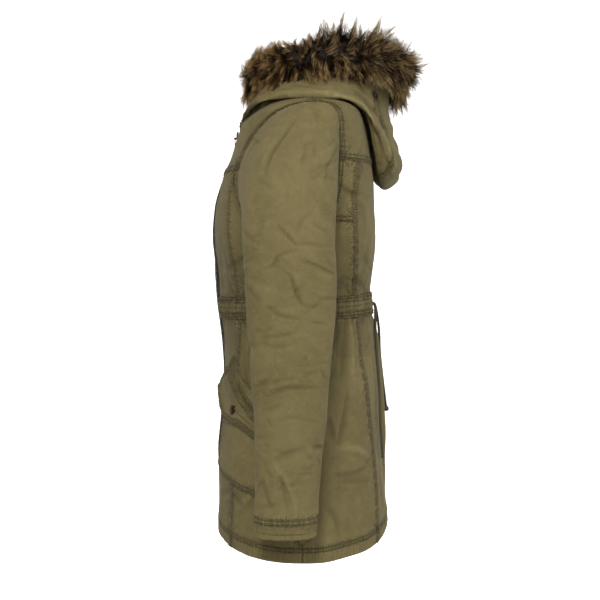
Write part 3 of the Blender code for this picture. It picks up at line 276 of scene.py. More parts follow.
def creaseLines(surface, creases, deeper=1.0):
    # each crease as a fine line on a smooth surface, with its half width, depth and the way to its soft side
    lines = []
    for number, (width, depth, places) in enumerate(creases):
        places = np.array(places, float)
        fine = curveThrough(places, np.linspace(0, len(places) - 1, 60))
        line = surface(fine[:, 0], fine[:, 1])
        way = unit(line[-1] - line[0])
        soft = np.array([0, 0, 1.0]) if abs(way[2]) < 0.8 else np.array([0, 1.0, 0])
        soft = unit(soft - way * (soft @ way)) * (1 if number % 3 else -1)
        lines.append((width, depth * deeper, line, soft))
    return lines


# Small creases of washed cloth, each short and nearly level: length, half width and bend
strewnSizes = {"length": (14, 46), "width": (2.0, 3.6), "bend": 0.3}


def strewnCreases(surface, seed, count, low, high, slant=30, depth=(0.5, 1.5)):
    # at random places between two corners of a surface; high may end with the surface's own scales
    rng = np.random.default_rng(seed)
    lines = []
    for _ in range(count):
        at = np.array([rng.uniform(low[0], high[0]), rng.uniform(low[1], high[1])])
        scale = np.array(high[2:] if len(high) > 3 else (high[2], 1.0))
        turn = np.radians(rng.normal(0, slant))
        reach = rng.uniform(*strewnSizes["length"]) / 2
        bend = rng.uniform(-strewnSizes["bend"], strewnSizes["bend"]) * reach
        way = np.array([np.cos(turn), np.sin(turn)])
        beside = np.array([-way[1], way[0]])
        places = [at - scale * reach * way, at + scale * bend * beside, at + scale * reach * way]
        lines.append((rng.uniform(*strewnSizes["width"]), -rng.uniform(*depth), [tuple(p) for p in places]))
    return creaseLines(surface, lines)


def creaseHeight(points, lines):
    # a trough with a low ridge on both sides, steeper on one side, fading at its two ends
    total = np.zeros(points.shape[:-1])
    for width, depth, line, soft in lines:
        near = ((points > line.min(0) - 3 * width) & (points < line.max(0) + 3 * width)).all(-1)
        if not near.any():
            continue
        p = points[near]
        apart = ((p[:, None] - line[None]) ** 2).sum(-1)
        closest = apart.argmin(1)
        fade = np.sin(np.pi * (0.04 + 0.92 * closest / (len(line) - 1))) ** 0.8
        side = ((p - line[closest]) @ soft) / width
        q = np.sqrt(apart.min(1)) / (width * (0.5 + 0.5 * fade) * np.where(side > 0, 1.5, 0.55))
        total[near] += depth * fade * (1 - 0.75 * q * q) * np.exp(-0.85 * q * q)
    return total


bodyCreases = creaseLines(plainBody, bodyCut["creases"], 1.15)
bodyCreases += strewnCreases(plainBody, 71, 90, (8, -690), (352, -380, 0.36), slant=50, depth=(0.4, 1.1))
bodyCreases += strewnCreases(plainBody, 72, 60, (8, -330), (352, -90, 0.36), slant=50, depth=(0.4, 1.1))
bodyCreases += strewnCreases(plainBody, 73, 50, (88, -640), (170, -90, 0.36), slant=60, depth=(0.5, 1.4))


def body(angle, level, out=0.0):
    normal = bodyNormal(angle, level)
    return plainBody(angle, level) + normal * np.asarray(foldHeight(angle, level) + out)[..., None]


def placeOnSide(y, z):
    # angle and level of the spots on the body that lie at y and z seen from the left, found in small steps
    angle, level = np.full(np.shape(y), 90.0), np.asarray(z, float) - 20
    for _ in range(60):
        here = plainBody(angle, level)
        byAngle = (plainBody(angle + 0.1, level) - here) / 0.1
        byLevel = (plainBody(angle, level + 0.1) - here) / 0.1
        missY, missZ = y - here[..., 1], z - here[..., 2]
        det = byAngle[..., 1] * byLevel[..., 2] - byAngle[..., 2] * byLevel[..., 1]
        turn = (missY * byLevel[..., 2] - missZ * byLevel[..., 1]) / det
        rise = (missZ * byAngle[..., 1] - missY * byAngle[..., 2]) / det
        angle = np.clip(angle + np.clip(turn, -4, 4), 30, 150)
        level = np.clip(level + np.clip(rise, -8, 8), bodyCut["hem"] + 2, bodyCut["neck"] - 2)
    return np.stack([angle, level], axis=-1)


armholeTable = np.array(bodyCut["armhole"], float)
armholePlaces = placeOnSide(armholeTable[:, 0], armholeTable[:, 1])


def armholeAt(index):
    return curveThrough(armholePlaces, np.asarray(index, float), closed=True)


def sideBackAngle(level):
    levels, angles = np.array(bodyCut["sideBackSeam"], float).T
    return smoothThrough(levels, angles, level)


def zipAngle(level):
    return np.degrees(np.arctan2(bodyCut["zipHalf"], ringSize(6, level) - ringSize(4, level)))


# Nodes and materials
def linear(text):
    # one sRGB hex colour as linear numbers
    parts = [int(text[i:i + 2], 16) / 255 for i in (1, 3, 5)]
    return tuple(c / 12.92 if c <= 0.04045 else ((c + 0.055) / 1.055) ** 2.4 for c in parts) + (1.0,)


def fill(node, inputs):
    # sockets are linked and anything else is set on the node's own socket
    for key, value in inputs.items():
        if isinstance(value, bpy.types.NodeSocket):
            node.id_data.links.new(value, node.inputs[key])
        else:
            node.inputs[key].default_value = value


def addNode(tree, kind, inputs=None, out=0, **settings):
    # a node with its settings and inputs, which gives back one of its outputs
    node = tree.nodes.new(kind if "Node" in kind else f"ShaderNode{kind}")
    for key, value in settings.items():
        setattr(node, key, value)
    fill(node, inputs or {})
    return node if out is None else node.outputs[out]


softly = {"interpolation_type": "SMOOTHSTEP"}


def paintOver(add, under, over, mask, low, high, least=0.0, most=1.0):
    # one colour laid over another where the mask is strong
    share = add("MapRange", {0: mask, 1: low, 2: high, 3: least, 4: most}, **softly)
    return add("Mix", {0: share, 6: under, 7: over}, 2, data_type="RGBA")


def startMaterial(name):
    material = bpy.data.materials.new(name)
    material.use_nodes = True
    tree = material.node_tree
    return material, partial(addNode, tree), tree.nodes["Principled BSDF"]


# Cotton twill, garment washed after sewing: matt, slightly mottled, pale along the rubbed seam edges, with
# painted highlight on ridges and painted shade in the stitched grooves, creases and under the sleeves.
# Threads are 0.5 mm apart, drawn here at 1.3 mm so that they show.
clothLooks = {
    "base": "#6f6440", "faded": "#7d724c", "deep": "#5c5332", "wornAndHighlight": "#8f8359", "grooveShade": "#39321d",
    "patch": 16.0, "mottle": 70.0, "grain": 620.0, "crumple": 30.0, "twill": 1.3, "roughness": 0.86,
    "gloss": 0.25, "rungDark": 0.13,
    # each relief rests on the one before: strength and depth in metres
    "crumpleDepth": 0.0008, "weave": (0.35, 0.0005), "lumps": (0.5, 0.004), "puckers": (0.9, 0.004),
    "stitchDip": (1.0, 0.0012),
}


def washedTwill():
    material, add, shader = startMaterial("washed cotton twill")
    base, faded, deep, wornAndHighlight, grooveShade = (linear(clothLooks[key]) for key in ("base", "faded", "deep", "wornAndHighlight",
        "grooveShade"))
    place = add("TexCoord", out="Object")
    patches, mottle, fine = (add("TexNoise", {"Vector": place, "Scale": clothLooks[key], "Detail": detail,
        "Roughness": rough}) for key, detail, rough in (("patch", 4.0, 0.6), ("mottle", 5.0, 0.7),
        ("grain", 3.0, 0.7)))
    colour = paintOver(add, base, deep, patches, 0.35, 0.68, most=0.55)
    colour = paintOver(add, colour, faded, mottle, 0.42, 0.75, most=0.5)
    colour = paintOver(add, colour, deep, fine, 0.3, 0.7, most=0.28)
    # rubbed edges and ridges are pale, partly wear and partly painted highlight, and grooves, creases and shaded
    # places get painted shade, both broken up by the mottling
    for name, shade, low, high, least in (("wearAndHighlight", wornAndHighlight, 0.3, 0.62, 0.25), ("dark", grooveShade, 0.25, 0.65, 0.65)):
        mask = add("Attribute", out="Fac", attribute_name=name)
        broken = add("MapRange", {0: mottle, 1: low, 2: high, 3: least}, **softly)
        mask = add("Math", {0: mask, 1: broken}, operation="MULTIPLY")
        colour = add("Mix", {0: mask, 6: colour, 7: shade}, 2, data_type="RGBA")
    # stitch rows: a thin dip and small ladders of puckers across it, both with painted shade
    row = add("Attribute", out="Vector", attribute_name="rowPlace")
    away = add("Math", {0: add("SeparateXYZ", {0: row})}, operation="ABSOLUTE")
    dip = add("MapRange", {0: away, 1: 0.3, 2: 1.3, 3: 1.0, 4: 0.0}, **softly)
    rungPlace = add("Mapping", {"Vector": row, "Scale": (0.12, 0.36, 0.0)})
    rungs = add("TexNoise", {"Vector": rungPlace, "Scale": 1.0, "Detail": 1.0})
    rungs = add("MapRange", {0: rungs, 1: 0.44, 2: 0.56}, **softly)
    nearRow = add("MapRange", {0: away, 1: 1.5, 2: 4.2, 3: 1.0, 4: 0.0}, **softly)
    rungDark = add("Math", {0: rungs, 1: nearRow}, operation="MULTIPLY")
    faint = add("Math", {0: rungDark, 1: clothLooks["rungDark"]}, operation="MULTIPLY")
    rungs = add("MapRange", {0: rungs, 3: 0.16, 4: 0.54}, **softly)
    stitched = add("Math", {0: dip, 1: rungs}, operation="MULTIPLY")
    for mask in (faint, stitched):
        colour = add("Mix", {0: mask, 6: colour, 7: grooveShade}, 2, data_type="RGBA")
    # twill runs steeply up to the right; its ribs break up where the cloth is washed
    x, y, z = add("SeparateXYZ", {0: place}, None).outputs
    around = add("Math", {0: x, 1: y}, operation="ADD")
    slant = add("Math", {0: z, 1: 0.6, 2: around}, operation="MULTIPLY_ADD")
    turns = add("Math", {0: slant, 1: 2 * math.pi / (clothLooks["twill"] * mm)}, operation="MULTIPLY")
    ribs = add("Math", {0: turns}, operation="SINE")
    weave = add("Math", {0: ribs, 1: 0.12, 2: fine}, operation="MULTIPLY_ADD")
    # fine sharp creases left by washing, nearly level and in loose groups
    bent = add("TexNoise", {"Vector": place, "Scale": 26.0, "Detail": 2.0}, "Color")
    bent = add("VectorMath", {0: bent, 1: (0.05, 0.05, 0.05), 2: place}, operation="MULTIPLY_ADD")
    bent = add("Mapping", {"Vector": bent, "Rotation": (0.35, 0.2, 0.0), "Scale": (1.0, 1.0, 2.4)})
    crumple = add("TexNoise", {"Vector": bent, "Scale": clothLooks["crumple"], "Detail": 2.0,
        "Roughness": 0.45})
    crumple = add("Math", {0: crumple, 1: 0.5}, operation="SUBTRACT")
    crumple = add("Math", {0: crumple}, operation="ABSOLUTE")
    crumple = add("MapRange", {0: crumple, 2: 0.045}, **softly)
    where = add("MapRange", {0: patches, 1: 0.47, 2: 0.68, 4: 0.7}, **softly)
    # puckers beside the seams run across them, about 6 mm apart
    seam = add("Attribute", out="Vector", attribute_name="seamPlace")
    squeezed = add("Mapping", {"Vector": seam, "Scale": (0.10, 0.26, 1.0)})
    pucker = add("TexNoise", {"Vector": squeezed, "Scale": 1.0, "Detail": 2.0})
    nearSeam = add("MapRange", {0: add("SeparateXYZ", {0: seam}), 1: 2.0, 2: 16.0, 3: 1.0, 4: 0.0}, **softly)
    puckers = add("Math", {0: pucker, 1: nearSeam}, operation="MULTIPLY")
    rowDip = add("Math", {0: rungDark, 1: 0.8, 2: dip}, operation="MULTIPLY_ADD")
    bump = add("Bump", {"Height": crumple, "Strength": where, "Distance": clothLooks["crumpleDepth"]})
    for key, height in (("weave", weave), ("lumps", mottle), ("puckers", puckers), ("stitchDip", rowDip)):
        strength, depth = clothLooks[key]
        bump = add("Bump", {"Height": height, "Strength": strength, "Distance": depth, "Normal": bump},
            invert=key == "stitchDip")
    fill(shader, {"Base Color": colour, "Roughness": clothLooks["roughness"],
        "Specular IOR Level": clothLooks["gloss"], "Normal": bump})
    return material


# Acrylic pile fur: brown-black at the root, gold and greyed beige at the tips, paler at the back, with
# the soft gloss of combed fibre
furLooks = {"root": "#0b0401", "middle": "#3a2711", "gold": "#ad8d5c", "beige": "#b39a6d", "dark": "#1c0f05",
    "patch": 85.0, "roughness": 0.7, "gloss": 0.06}


def pileFur():
    material, add, shader = startMaterial("acrylic pile fur")
    root, middle, gold, beige, dark = (linear(furLooks[key]) for key in ("root", "middle", "gold", "beige",
        "dark"))
    place = add("TexCoord", out="Object")
    tip, strand = (add("Attribute", out="Fac", attribute_name=name) for name in ("tip", "strand"))
    patches = add("TexNoise", {"Vector": place, "Scale": furLooks["patch"], "Detail": 2.0})
    tipColour = paintOver(add, gold, beige, add("SeparateXYZ", {0: place}, 1), -0.03, 0.13)
    tipColour = paintOver(add, tipColour, middle, strand, 0.2, 0.6, 0.7, 0.0)
    tipColour = paintOver(add, tipColour, dark, patches, 0.48, 0.62, most=0.8)
    colour = paintOver(add, root, middle, tip, 0.2, 0.6)
    colour = paintOver(add, colour, tipColour, tip, 0.4, 0.85)
    fill(shader, {"Base Color": colour, "Roughness": furLooks["roughness"],
        "Specular IOR Level": furLooks["gloss"]})
    return material


# Spun sewing thread, a little darker than the cloth, with a slight shine
threadLooks = {"colours": ("#484026", "#665c3c"), "between": (0.3, 0.7), "scale": 300.0, "detail": 2.0,
    "roughness": 0.6}
# Knitted backing of the pile, dark and matt, seen only between the tufts
backingLooks = {"colours": ("#120903", "#22150a"), "between": (0.35, 0.7), "scale": 180.0, "detail": 3.0,
    "roughness": 0.95, "raised": (1.0, 0.003)}
# Cast zinc with an aged bronze plating: dark, rubbed brighter in spots
bronzeLooks = {"colours": ("#2a2015", "#5c4a33"), "between": (0.4, 0.72), "scale": 420.0, "detail": 4.0,
    "roughness": (0.5, 0.32), "raised": (0.3, 0.0003), "metallic": 1.0}
# Woven polyester zip tape: black, slightly shiny ribs across it, 0.7 mm apart, drawn at 1.2 mm
tapeLooks = {"colours": ("#0c0b0a", "#26231f"), "scale": 300.0, "detail": 3.0, "roughness": 0.65,
    "raised": (0.5, 0.0004), "ribs": 1.2}
# Braided cotton cord, washed with the coat: dark olive, matt, with painted shade between the diamonds of its
# braid
cordLooks = {"colours": ("#38321e", "#4f482d"), "scale": 500.0, "detail": 3.0, "roughness": 0.85,
    "raised": (0.5, 0.0004), "hollowShade": "#1d190e"}
# Moulded ABS bead, dark green, satin from the mould
beadLooks = {"colours": ("#182019", "#27312a"), "scale": 350.0, "detail": 2.0, "roughness": (0.3, 0.45)}


def mottledMaterial(name, looks):
    # two colours mixed by a noise, which can also roughen the surface and raise it
    material, add, shader = startMaterial(name)
    place = add("TexCoord", out="Object")
    noise = add("TexNoise", {"Vector": place, "Scale": looks["scale"], "Detail": looks["detail"]})
    first, second = (linear(text) for text in looks["colours"])
    if "between" in looks:
        colour = paintOver(add, first, second, noise, *looks["between"])
    else:
        colour = add("Mix", {0: noise, 6: first, 7: second}, 2, data_type="RGBA")
    # painted shade in the hollows, laid where the piece's dark attribute is strong
    if "hollowShade" in looks:
        dark = add("Attribute", out="Fac", attribute_name="dark")
        colour = add("Mix", {0: dark, 6: colour, 7: linear(looks["hollowShade"])}, 2, data_type="RGBA")
    roughness, height = looks["roughness"], noise
    if isinstance(roughness, tuple):
        roughness = add("MapRange", {0: noise, 1: 0.3, 2: 0.7, 3: roughness[0], 4: roughness[1]}, **softly)
    if "ribs" in looks:
        turns = add("Math", {0: add("SeparateXYZ", {0: place}, 2), 1: 2 * math.pi / (looks["ribs"] * mm)},
            operation="MULTIPLY")
        height = add("Math", {0: turns}, operation="SINE")
    if "raised" in looks:
        strength, depth = looks["raised"]
        fill(shader, {"Normal": add("Bump", {"Height": height, "Strength": strength, "Distance": depth})})
    fill(shader, {"Base Color": colour, "Roughness": roughness, "Metallic": looks.get("metallic", 0.0)})
    return material


twill, fur = washedTwill(), pileFur()
thread = mottledMaterial("spun sewing thread", threadLooks)
backing = mottledMaterial("knitted pile backing", backingLooks)
bronze = mottledMaterial("aged bronze plating", bronzeLooks)
tape = mottledMaterial("woven polyester tape", tapeLooks)
cordBraid = mottledMaterial("braided cotton cord", cordLooks)
beadPlastic = mottledMaterial("moulded ABS", beadLooks)
print("materials made")


# Meshes
def linked(name, data):
    thing = bpy.data.objects.new(name, data)
    scene.collection.objects.link(thing)
    return thing


def meshPiece(name, points, faces, material, attributes=None):
    mesh = bpy.data.meshes.new(name)
    mesh.from_pydata((np.asarray(points, float) * mm).tolist(), [], [list(map(int, f)) for f in faces])
    mesh.update()
    for key, values in (attributes or {}).items():
        kind, field = ("FLOAT_VECTOR", "vector") if values.ndim == 2 else ("FLOAT", "value")
        mesh.attributes.new(key, kind, "POINT").data.foreach_set(field, values.ravel())
    mesh.shade_smooth()
    mesh.materials.append(material)
    return linked(name, mesh)


def baked(thing):
    # the piece as its modifiers leave it
    graph = bpy.context.evaluated_depsgraph_get()
    mesh = bpy.data.meshes.new_from_object(thing.evaluated_get(graph))
    thing.modifiers.clear()
    thing.data = mesh
    return thing


def softened(piece, width, sharp, **limits):
    # edges bevelled in two steps; those that turn by more than the sharp angle stay hard
    soften = piece.modifiers.new("soften", "BEVEL")
    soften.width, soften.segments = width * mm, 2
    for key, value in limits.items():
        setattr(soften, key, value)
    baked(piece)
    piece.data.shade_smooth()
    piece.data.set_sharp_from_angle(angle=math.radians(sharp))


def addTo(piece, node=None, bodyName="parka"):
    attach(piece, bodyName)
    if node:
        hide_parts(node)
        piece.name = f"{node}_made"
    return piece


# How the cloth lies beside each kind of edge: lift of the folded seam allowance, its width, the stitch
# rows' distances from the edge, depth of the puckers and of the rounded edge
seamKinds = {
    "over": {"lift": 1.0, "band": 9.8, "rows": (1.9, 8.2), "pucker": 0.7, "roll": 1.2},
    "under": {"lift": 0.0, "band": 0.0, "rows": (), "pucker": 0.55, "roll": 0.9},
    "placket": {"lift": 0.5, "band": 9.0, "rows": (2.2, 8.0), "pucker": 0.45, "roll": 0.9},
    "hem": {"lift": 1.0, "band": 24.0, "rows": (16.5, 22.0), "pucker": 0.7, "roll": 0.6},
    "casing": {"lift": 0.9, "band": 60.0, "rows": (2.4, 7.6), "pucker": 1.25, "roll": 0.3},
    "patch": {"lift": 0.25, "band": 9.0, "rows": (1.8, 7.0), "pucker": 0.5, "roll": 0.5},
    "free": {"lift": 0.0, "band": 0.0, "rows": (), "pucker": 0.2, "roll": 0.4},
    "plain": {"lift": 0.0, "band": 0.0, "rows": (), "pucker": 0.25, "roll": 0.25},
}
nearEdge = {
    "over": [0, 0.8, 1.9, 3.0, 5.0, 7.0, 8.2, 9.4, 11.0, 13.2], "under": [0, 0.9, 2.2, 4.4],
    "plain": [0, 1.2, 3.2], "placket": [0, 1.0, 2.2, 3.4, 5.6, 7.0, 8.0, 9.2, 11.5],
    "hem": [0, 1.2, 3.5, 7, 11, 15, 17, 18.6, 20.6, 22.0, 23.6, 26], "free": [0, 1.2, 3.2],
    "casing": [0, 0.8, 2.0, 3.2, 5.2, 6.4, 7.8], "patch": [0, 0.7, 1.8, 3.0, 5.0, 7.0, 8.2, 10.0],
    "none": [0, 2.0],
}
threadLines = {}


def edges(*kinds):
    # the kinds of a panel's four edges: the two that its rows run between, then its low and its high one
    return dict(zip(("u0", "u1", "v0", "v1"), kinds))


def shares(length, first, last, pitch):
    # places along one direction of a panel, close beside its two edges, as millimetres from the first
    a, b = np.array(nearEdge[first], float), np.array(nearEdge[last], float)
    room = length * 0.8 / (a[-1] + b[-1])
    if room < 1:
        a, b = a * room, b * room
    count = max(int(round((length - a[-1] - b[-1]) / pitch)), 1)
    return a, b, count


def spread(length, a, b, count):
    # the same number of places at every length
    scale = np.minimum(1, length * 0.8 / (a[-1] + b[-1]))
    middle = np.linspace(0, 1, count + 1)[1:-1]
    left, right = a[None] * scale[:, None], length[:, None] - b[None, ::-1] * scale[:, None]
    between = left[:, -1:] + (right[:, :1] - left[:, -1:]) * middle[None]
    return np.concatenate([left, between, right], axis=1)


def relief(kind, d, run, seed):
    # height, pale wear with painted highlight, and painted shade of the cloth at distance d from an edge and run
    # along it
    k = seamKinds[kind]
    wide = k["band"] if 0 < k["band"] < 40 else 8.0
    wobble = np.sin(run / 1.05 + 2.2 * np.sin(run / 9 + seed) + 0.3 * d) * 0.6
    wobble = wobble + np.sin(run / 0.71 + 2.6 * np.sin(run / 21) - 0.2 * d) * 0.4 + np.sin(run / 3.1 + seed + d
        / 4) * 0.5
    near = hump(d, wide * 0.55 + 2) * (0.15 if wide > 20 else 1.0)
    if len(k["rows"]) > 1:
        near = np.maximum(near, hump(d - sum(k["rows"]) / 2, min(wide, 10) * 0.3 + 2))
    strong = k["pucker"] > 0.3
    height = k["pucker"] * wobble * near - k["roll"] * hump(d, 0.95)
    # pucker tops get pale wear with painted highlight, and pucker valleys get painted shade
    much = 0.3 if k["pucker"] < 0.85 else 0.7
    wearAndHighlight = much * np.clip(wobble, 0, 1) * near * strong
    dark = much * np.clip(-wobble - 0.1, 0, 1) * near * strong
    broken = 0.5 + 0.5 * np.clip(1.4 * np.sin(run / 7.3 + 1.7 * seed) + np.sin(run / 2.9), 0, 1)
    # painted shade in the groove where the cut edge rolls under
    dark = dark + 0.3 * broken * hump(d, 0.8) * (k["roll"] > 0.5)
    if k["band"]:
        height = height + k["lift"] * (1 - eased((d - k["band"]) / 2.2))
        wearAndHighlight = wearAndHighlight + 0.35 * broken * hump(d - 1.1, 0.8)
        # painted shadow on the cloth just beyond the raised allowance
        if k["band"] < 40:
            dark = dark + 0.22 * broken * hump(d - k["band"] - 1.6, 1.2)
    for row in k["rows"]:
        height = height - 0.5 * hump(d - row, 0.8)
    return height, wearAndHighlight, dark


def lineAt(points, across, d, axis):
    # the line on a grid that lies at distance d from one edge
    if axis == 1:
        points, across = np.swapaxes(points, 0, 1), across.T
    line = []
    for k in range(points.shape[1]):
        at, far = points[:, k], across[:, k]
        order = np.argsort(far)
        if far.max() < d:
            continue
        line.append([np.interp(d, far[order], at[order, i]) for i in range(3)])
    return np.array(line)


def sewn(name, base, normal, out, kinds, material=twill, ring=False, lip=1.8, turnIn=None, seed=1.0,
        group="body", thick=0.0, folds=None):
    # one cut piece: relief beside its edges, lines for its threads, edges turned in, and its mesh
    stepU, stepV = (np.linalg.norm(np.diff(base, axis=i), axis=-1) for i in (0, 1))
    alongU = np.concatenate([np.zeros((1, base.shape[1])), np.cumsum(stepU, axis=0)])
    alongV = np.concatenate([np.zeros((base.shape[0], 1)), np.cumsum(stepV, axis=1)], axis=1)
    across = {"u0": alongU, "u1": alongU[-1:] - alongU, "v0": alongV, "v1": alongV[:, -1:] - alongV}
    height, wearAndHighlight, dark = np.zeros(alongU.shape), np.zeros(alongU.shape), np.zeros(alongU.shape)
    nearest, run = np.full(alongU.shape, 60.0), np.zeros(alongU.shape)
    fromRow, alongRow = np.full(alongU.shape, 60.0), np.zeros(alongU.shape)
    for number, (edge, kind) in enumerate(kinds.items()):
        d, r = across[edge], alongV if edge[0] == "u" else alongU
        if kind == "none":
            continue
        h, w, k = relief(kind, d, r, seed + 1.3 * number)
        height, wearAndHighlight, dark = height + h, np.maximum(wearAndHighlight, w), np.maximum(dark, k)
        inBand = np.maximum(d - (seamKinds[kind]["band"] if seamKinds[kind]["band"] < 40 else 8), 0) + 1
        closer = inBand < nearest
        nearest, run = np.where(closer, inBand, nearest), np.where(closer, r + 40 * number, run)
        for row in seamKinds[kind]["rows"]:
            closer = np.abs(d - row) < np.abs(fromRow)
            fromRow, alongRow = np.where(closer, d - row, fromRow), np.where(closer, r, alongRow)
    # ridges of creases and gathers are paler, partly wear and partly painted highlight, and their troughs get
    # painted shade
    if folds is not None:
        wearAndHighlight = np.maximum(wearAndHighlight, np.clip(folds * 0.22, 0, 0.5))
        dark = np.maximum(dark, np.clip(-folds * 0.17, 0, 0.5))
    outer = base + normal * (np.asarray(out) + height)[..., None]
    for edge, kind in kinds.items():
        if kind == "none":
            continue
        for row in seamKinds[kind]["rows"]:
            line = lineAt(outer + normal * 0.12, across[edge], row, 0 if edge[0] == "u" else 1)
            if len(line) > 3:
                threadLines.setdefault(group, []).append(line)
    place = np.stack([nearest, run, np.full(run.shape, seed), fromRow, alongRow, fromRow], axis=-1)
    points = outer
    if not thick:
        pad = ((0, 0) if ring else (1, 1), (1, 1))
        points = np.pad(outer, pad + ((0, 0),), mode="edge")
        inward = np.pad(normal, pad + ((0, 0),), mode="edge")
        edgeOn = np.pad(np.zeros(alongU.shape), pad, constant_values=1.0)
        points = points - inward * (lip * edgeOn)[..., None]
        wearAndHighlight, dark = np.pad(wearAndHighlight, pad, mode="edge"), np.pad(dark, pad, mode="edge")
        # painted shade on the edge row that turns in under the cloth
        dark = np.where(edgeOn > 0, np.maximum(dark, 0.25), dark)
        place = np.pad(place, pad + ((0, 0),), mode="edge")
        for edge, depth in (turnIn or {}).items():
            at = np.argmin(np.abs(across[edge].mean(axis=0) - depth))
            inside = outer[:, at] - normal[:, at] * (lip + 0.4)
            inside = inside if ring else np.pad(inside, ((1, 1), (0, 0)), mode="edge")
            extra = inside[:, None]
            points = np.concatenate([extra, points] if edge == "v0" else [points, extra], axis=1)
            end = 0 if edge == "v0" else -1
            parts = []
            for values in (wearAndHighlight, dark, place):
                row = values[:, end][:, None]
                parts.append(np.concatenate([row, values] if edge == "v0" else [values, row], axis=1))
            wearAndHighlight, dark, place = parts
    nu, nv = points.shape[:2]
    number = np.arange(nu * nv).reshape(nu, nv)
    first, second = (number, np.roll(number, -1, axis=0)) if ring else (number[:-1], number[1:])
    faces = np.stack([first[:, :-1], second[:, :-1], second[:, 1:], first[:, 1:]], axis=-1).reshape(-1, 4)
    facing = np.cross(outer[1:, :-1] - outer[:-1, :-1], outer[:-1, 1:] - outer[:-1, :-1])
    if (facing * normal[:-1, :-1]).sum() < 0:
        faces = faces[:, ::-1]
    piece = meshPiece(name, points.reshape(-1, 3), faces, material,
        {"wearAndHighlight": wearAndHighlight.reshape(-1), "dark": dark.reshape(-1), "seamPlace": place[..., :3].reshape(-1, 3),
        "rowPlace": place[..., 3:].reshape(-1, 3)})
    if thick:
        wall = piece.modifiers.new("cloth", "SOLIDIFY")
        wall.thickness, wall.offset = thick * mm, -1
        baked(piece)
    piece["cutWidth"], piece["cutLength"] = float(np.max(alongU[-1])) * mm, float(np.max(alongV[:, -1])) * mm
    quads = np.linalg.norm(np.cross(base[1:, :-1] - base[:-1, :-1], base[:-1, 1:] - base[:-1, :-1]), axis=-1)
    piece["cutArea"] = float(quads.sum()) * mm * mm
    for depth in (turnIn or {}).values():
        piece["cutLength"] += depth * mm
        piece["cutArea"] += piece["cutWidth"] * depth * mm
    if ring:
        piece["cutWidth"] += float(np.linalg.norm(base[0] - base[-1], axis=-1).max()) * mm
        piece["cutArea"] *= nu / (nu - 1)
    return piece


def declareSheet(piece):
    # takes the cut's width, length and area, which sewn stored, off the piece again;
    # the cut as it was before sewing, without seam allowances
    for key in ("cutWidth", "cutLength", "cutArea"):
        del piece[key]


def gridBetween(surface, first, second, kinds, pitchU, pitchV):
    # places between two edge lines, each from low to high: dense beside the seams
    middle = surface(*((first + second) / 2).T)
    run = lengthAlong(middle)
    a, b, count = shares(run[-1], kinds["v0"], kinds["v1"], pitchV)
    rows = spread(np.array([run[-1]]), a, b, count)[0]
    at = np.interp(rows, run, np.arange(len(run)))
    low, high = (pointsAlong(edge, np.arange(len(edge)), at) for edge in (first, second))
    share = np.linspace(0, 1, 13)[:, None, None]
    between = low[None] * (1 - share) + high[None] * share
    width = np.linalg.norm(np.diff(surface(between[..., 0], between[..., 1]), axis=0), axis=-1).sum(axis=0)
    a, b, count = shares(width.max(), kinds["u0"], kinds["u1"], pitchU)
    columns = spread(width, a, b, count)
    share = (columns / width[:, None]).T[..., None]
    between = low[None] * (1 - share) + high[None] * share
    return between[..., 0], between[..., 1]


def joined(*lines):
    return np.concatenate([lines[0]] + [line[1:] for line in lines[1:]])


def line(angle, levels):
    return np.stack([np.broadcast_to(angle, levels.shape), levels], axis=-1)


def opposite(places):
    # the same line on the coat's other side
    return np.stack([360 - places[:, 0], places[:, 1]], axis=-1)


def bodyPanel(name, first, second, kinds, mirror=False, pitch=(3.0, 3.4), held="hung", restsOn="back_yoke",
        seed=1.0, turnIn=None, lift=0.0, fullness=1.0, group="body", bulge=0.0, lip=1.8):
    angle, level = gridBetween(plainBody, first, second, kinds, *pitch)
    if mirror:
        angle = 360 - angle
    base, normal = plainBody(angle, level), bodyNormal(angle, level)
    gathered, creased = gatherHeight(angle, level), creaseHeight(base, bodyCreases)
    out = foldHeight(angle, level) + gathered + creased + lift
    out = out + 0.9 * unevenness(base, (26, 26, 60), 3) + 0.4 * unevenness(base, (11, 11, 19), 4)
    if bulge:
        middle = (bodyCut["casingLow"] + bodyCut["casingTop"]) / 2
        out = out + bulge * hump(level - middle, 6)
    # painted shade on the sides under the sleeves, fading towards the front and the back
    fromBack = np.abs((angle % 360) - 180)
    sleeveShade = np.exp(-((np.maximum(fromBack - 104, 0) / 22) ** 2 + (np.maximum(84 - fromBack, 0) / 20) ** 2))
    sleeveShade = sleeveShade * eased((-70 - level) / 60) * eased((level + 690) / 90)
    # troughs of creases and gathers and the sleeve shade become painted shade in sewn, and ridges become pale
    # wear with painted highlight
    piece = sewn(name, base, normal, out, kinds, seed=seed, turnIn=turnIn, group=group, lip=lip,
        folds=creased + 1.6 * (gathered - 0.9) * (np.abs(gathered) > 0.02) - 1.5 * sleeveShade)
    addTo(piece, name)
    declareSheet(piece)
    return piece


# Body panels
bothSides = (("left", False), ("right", True))


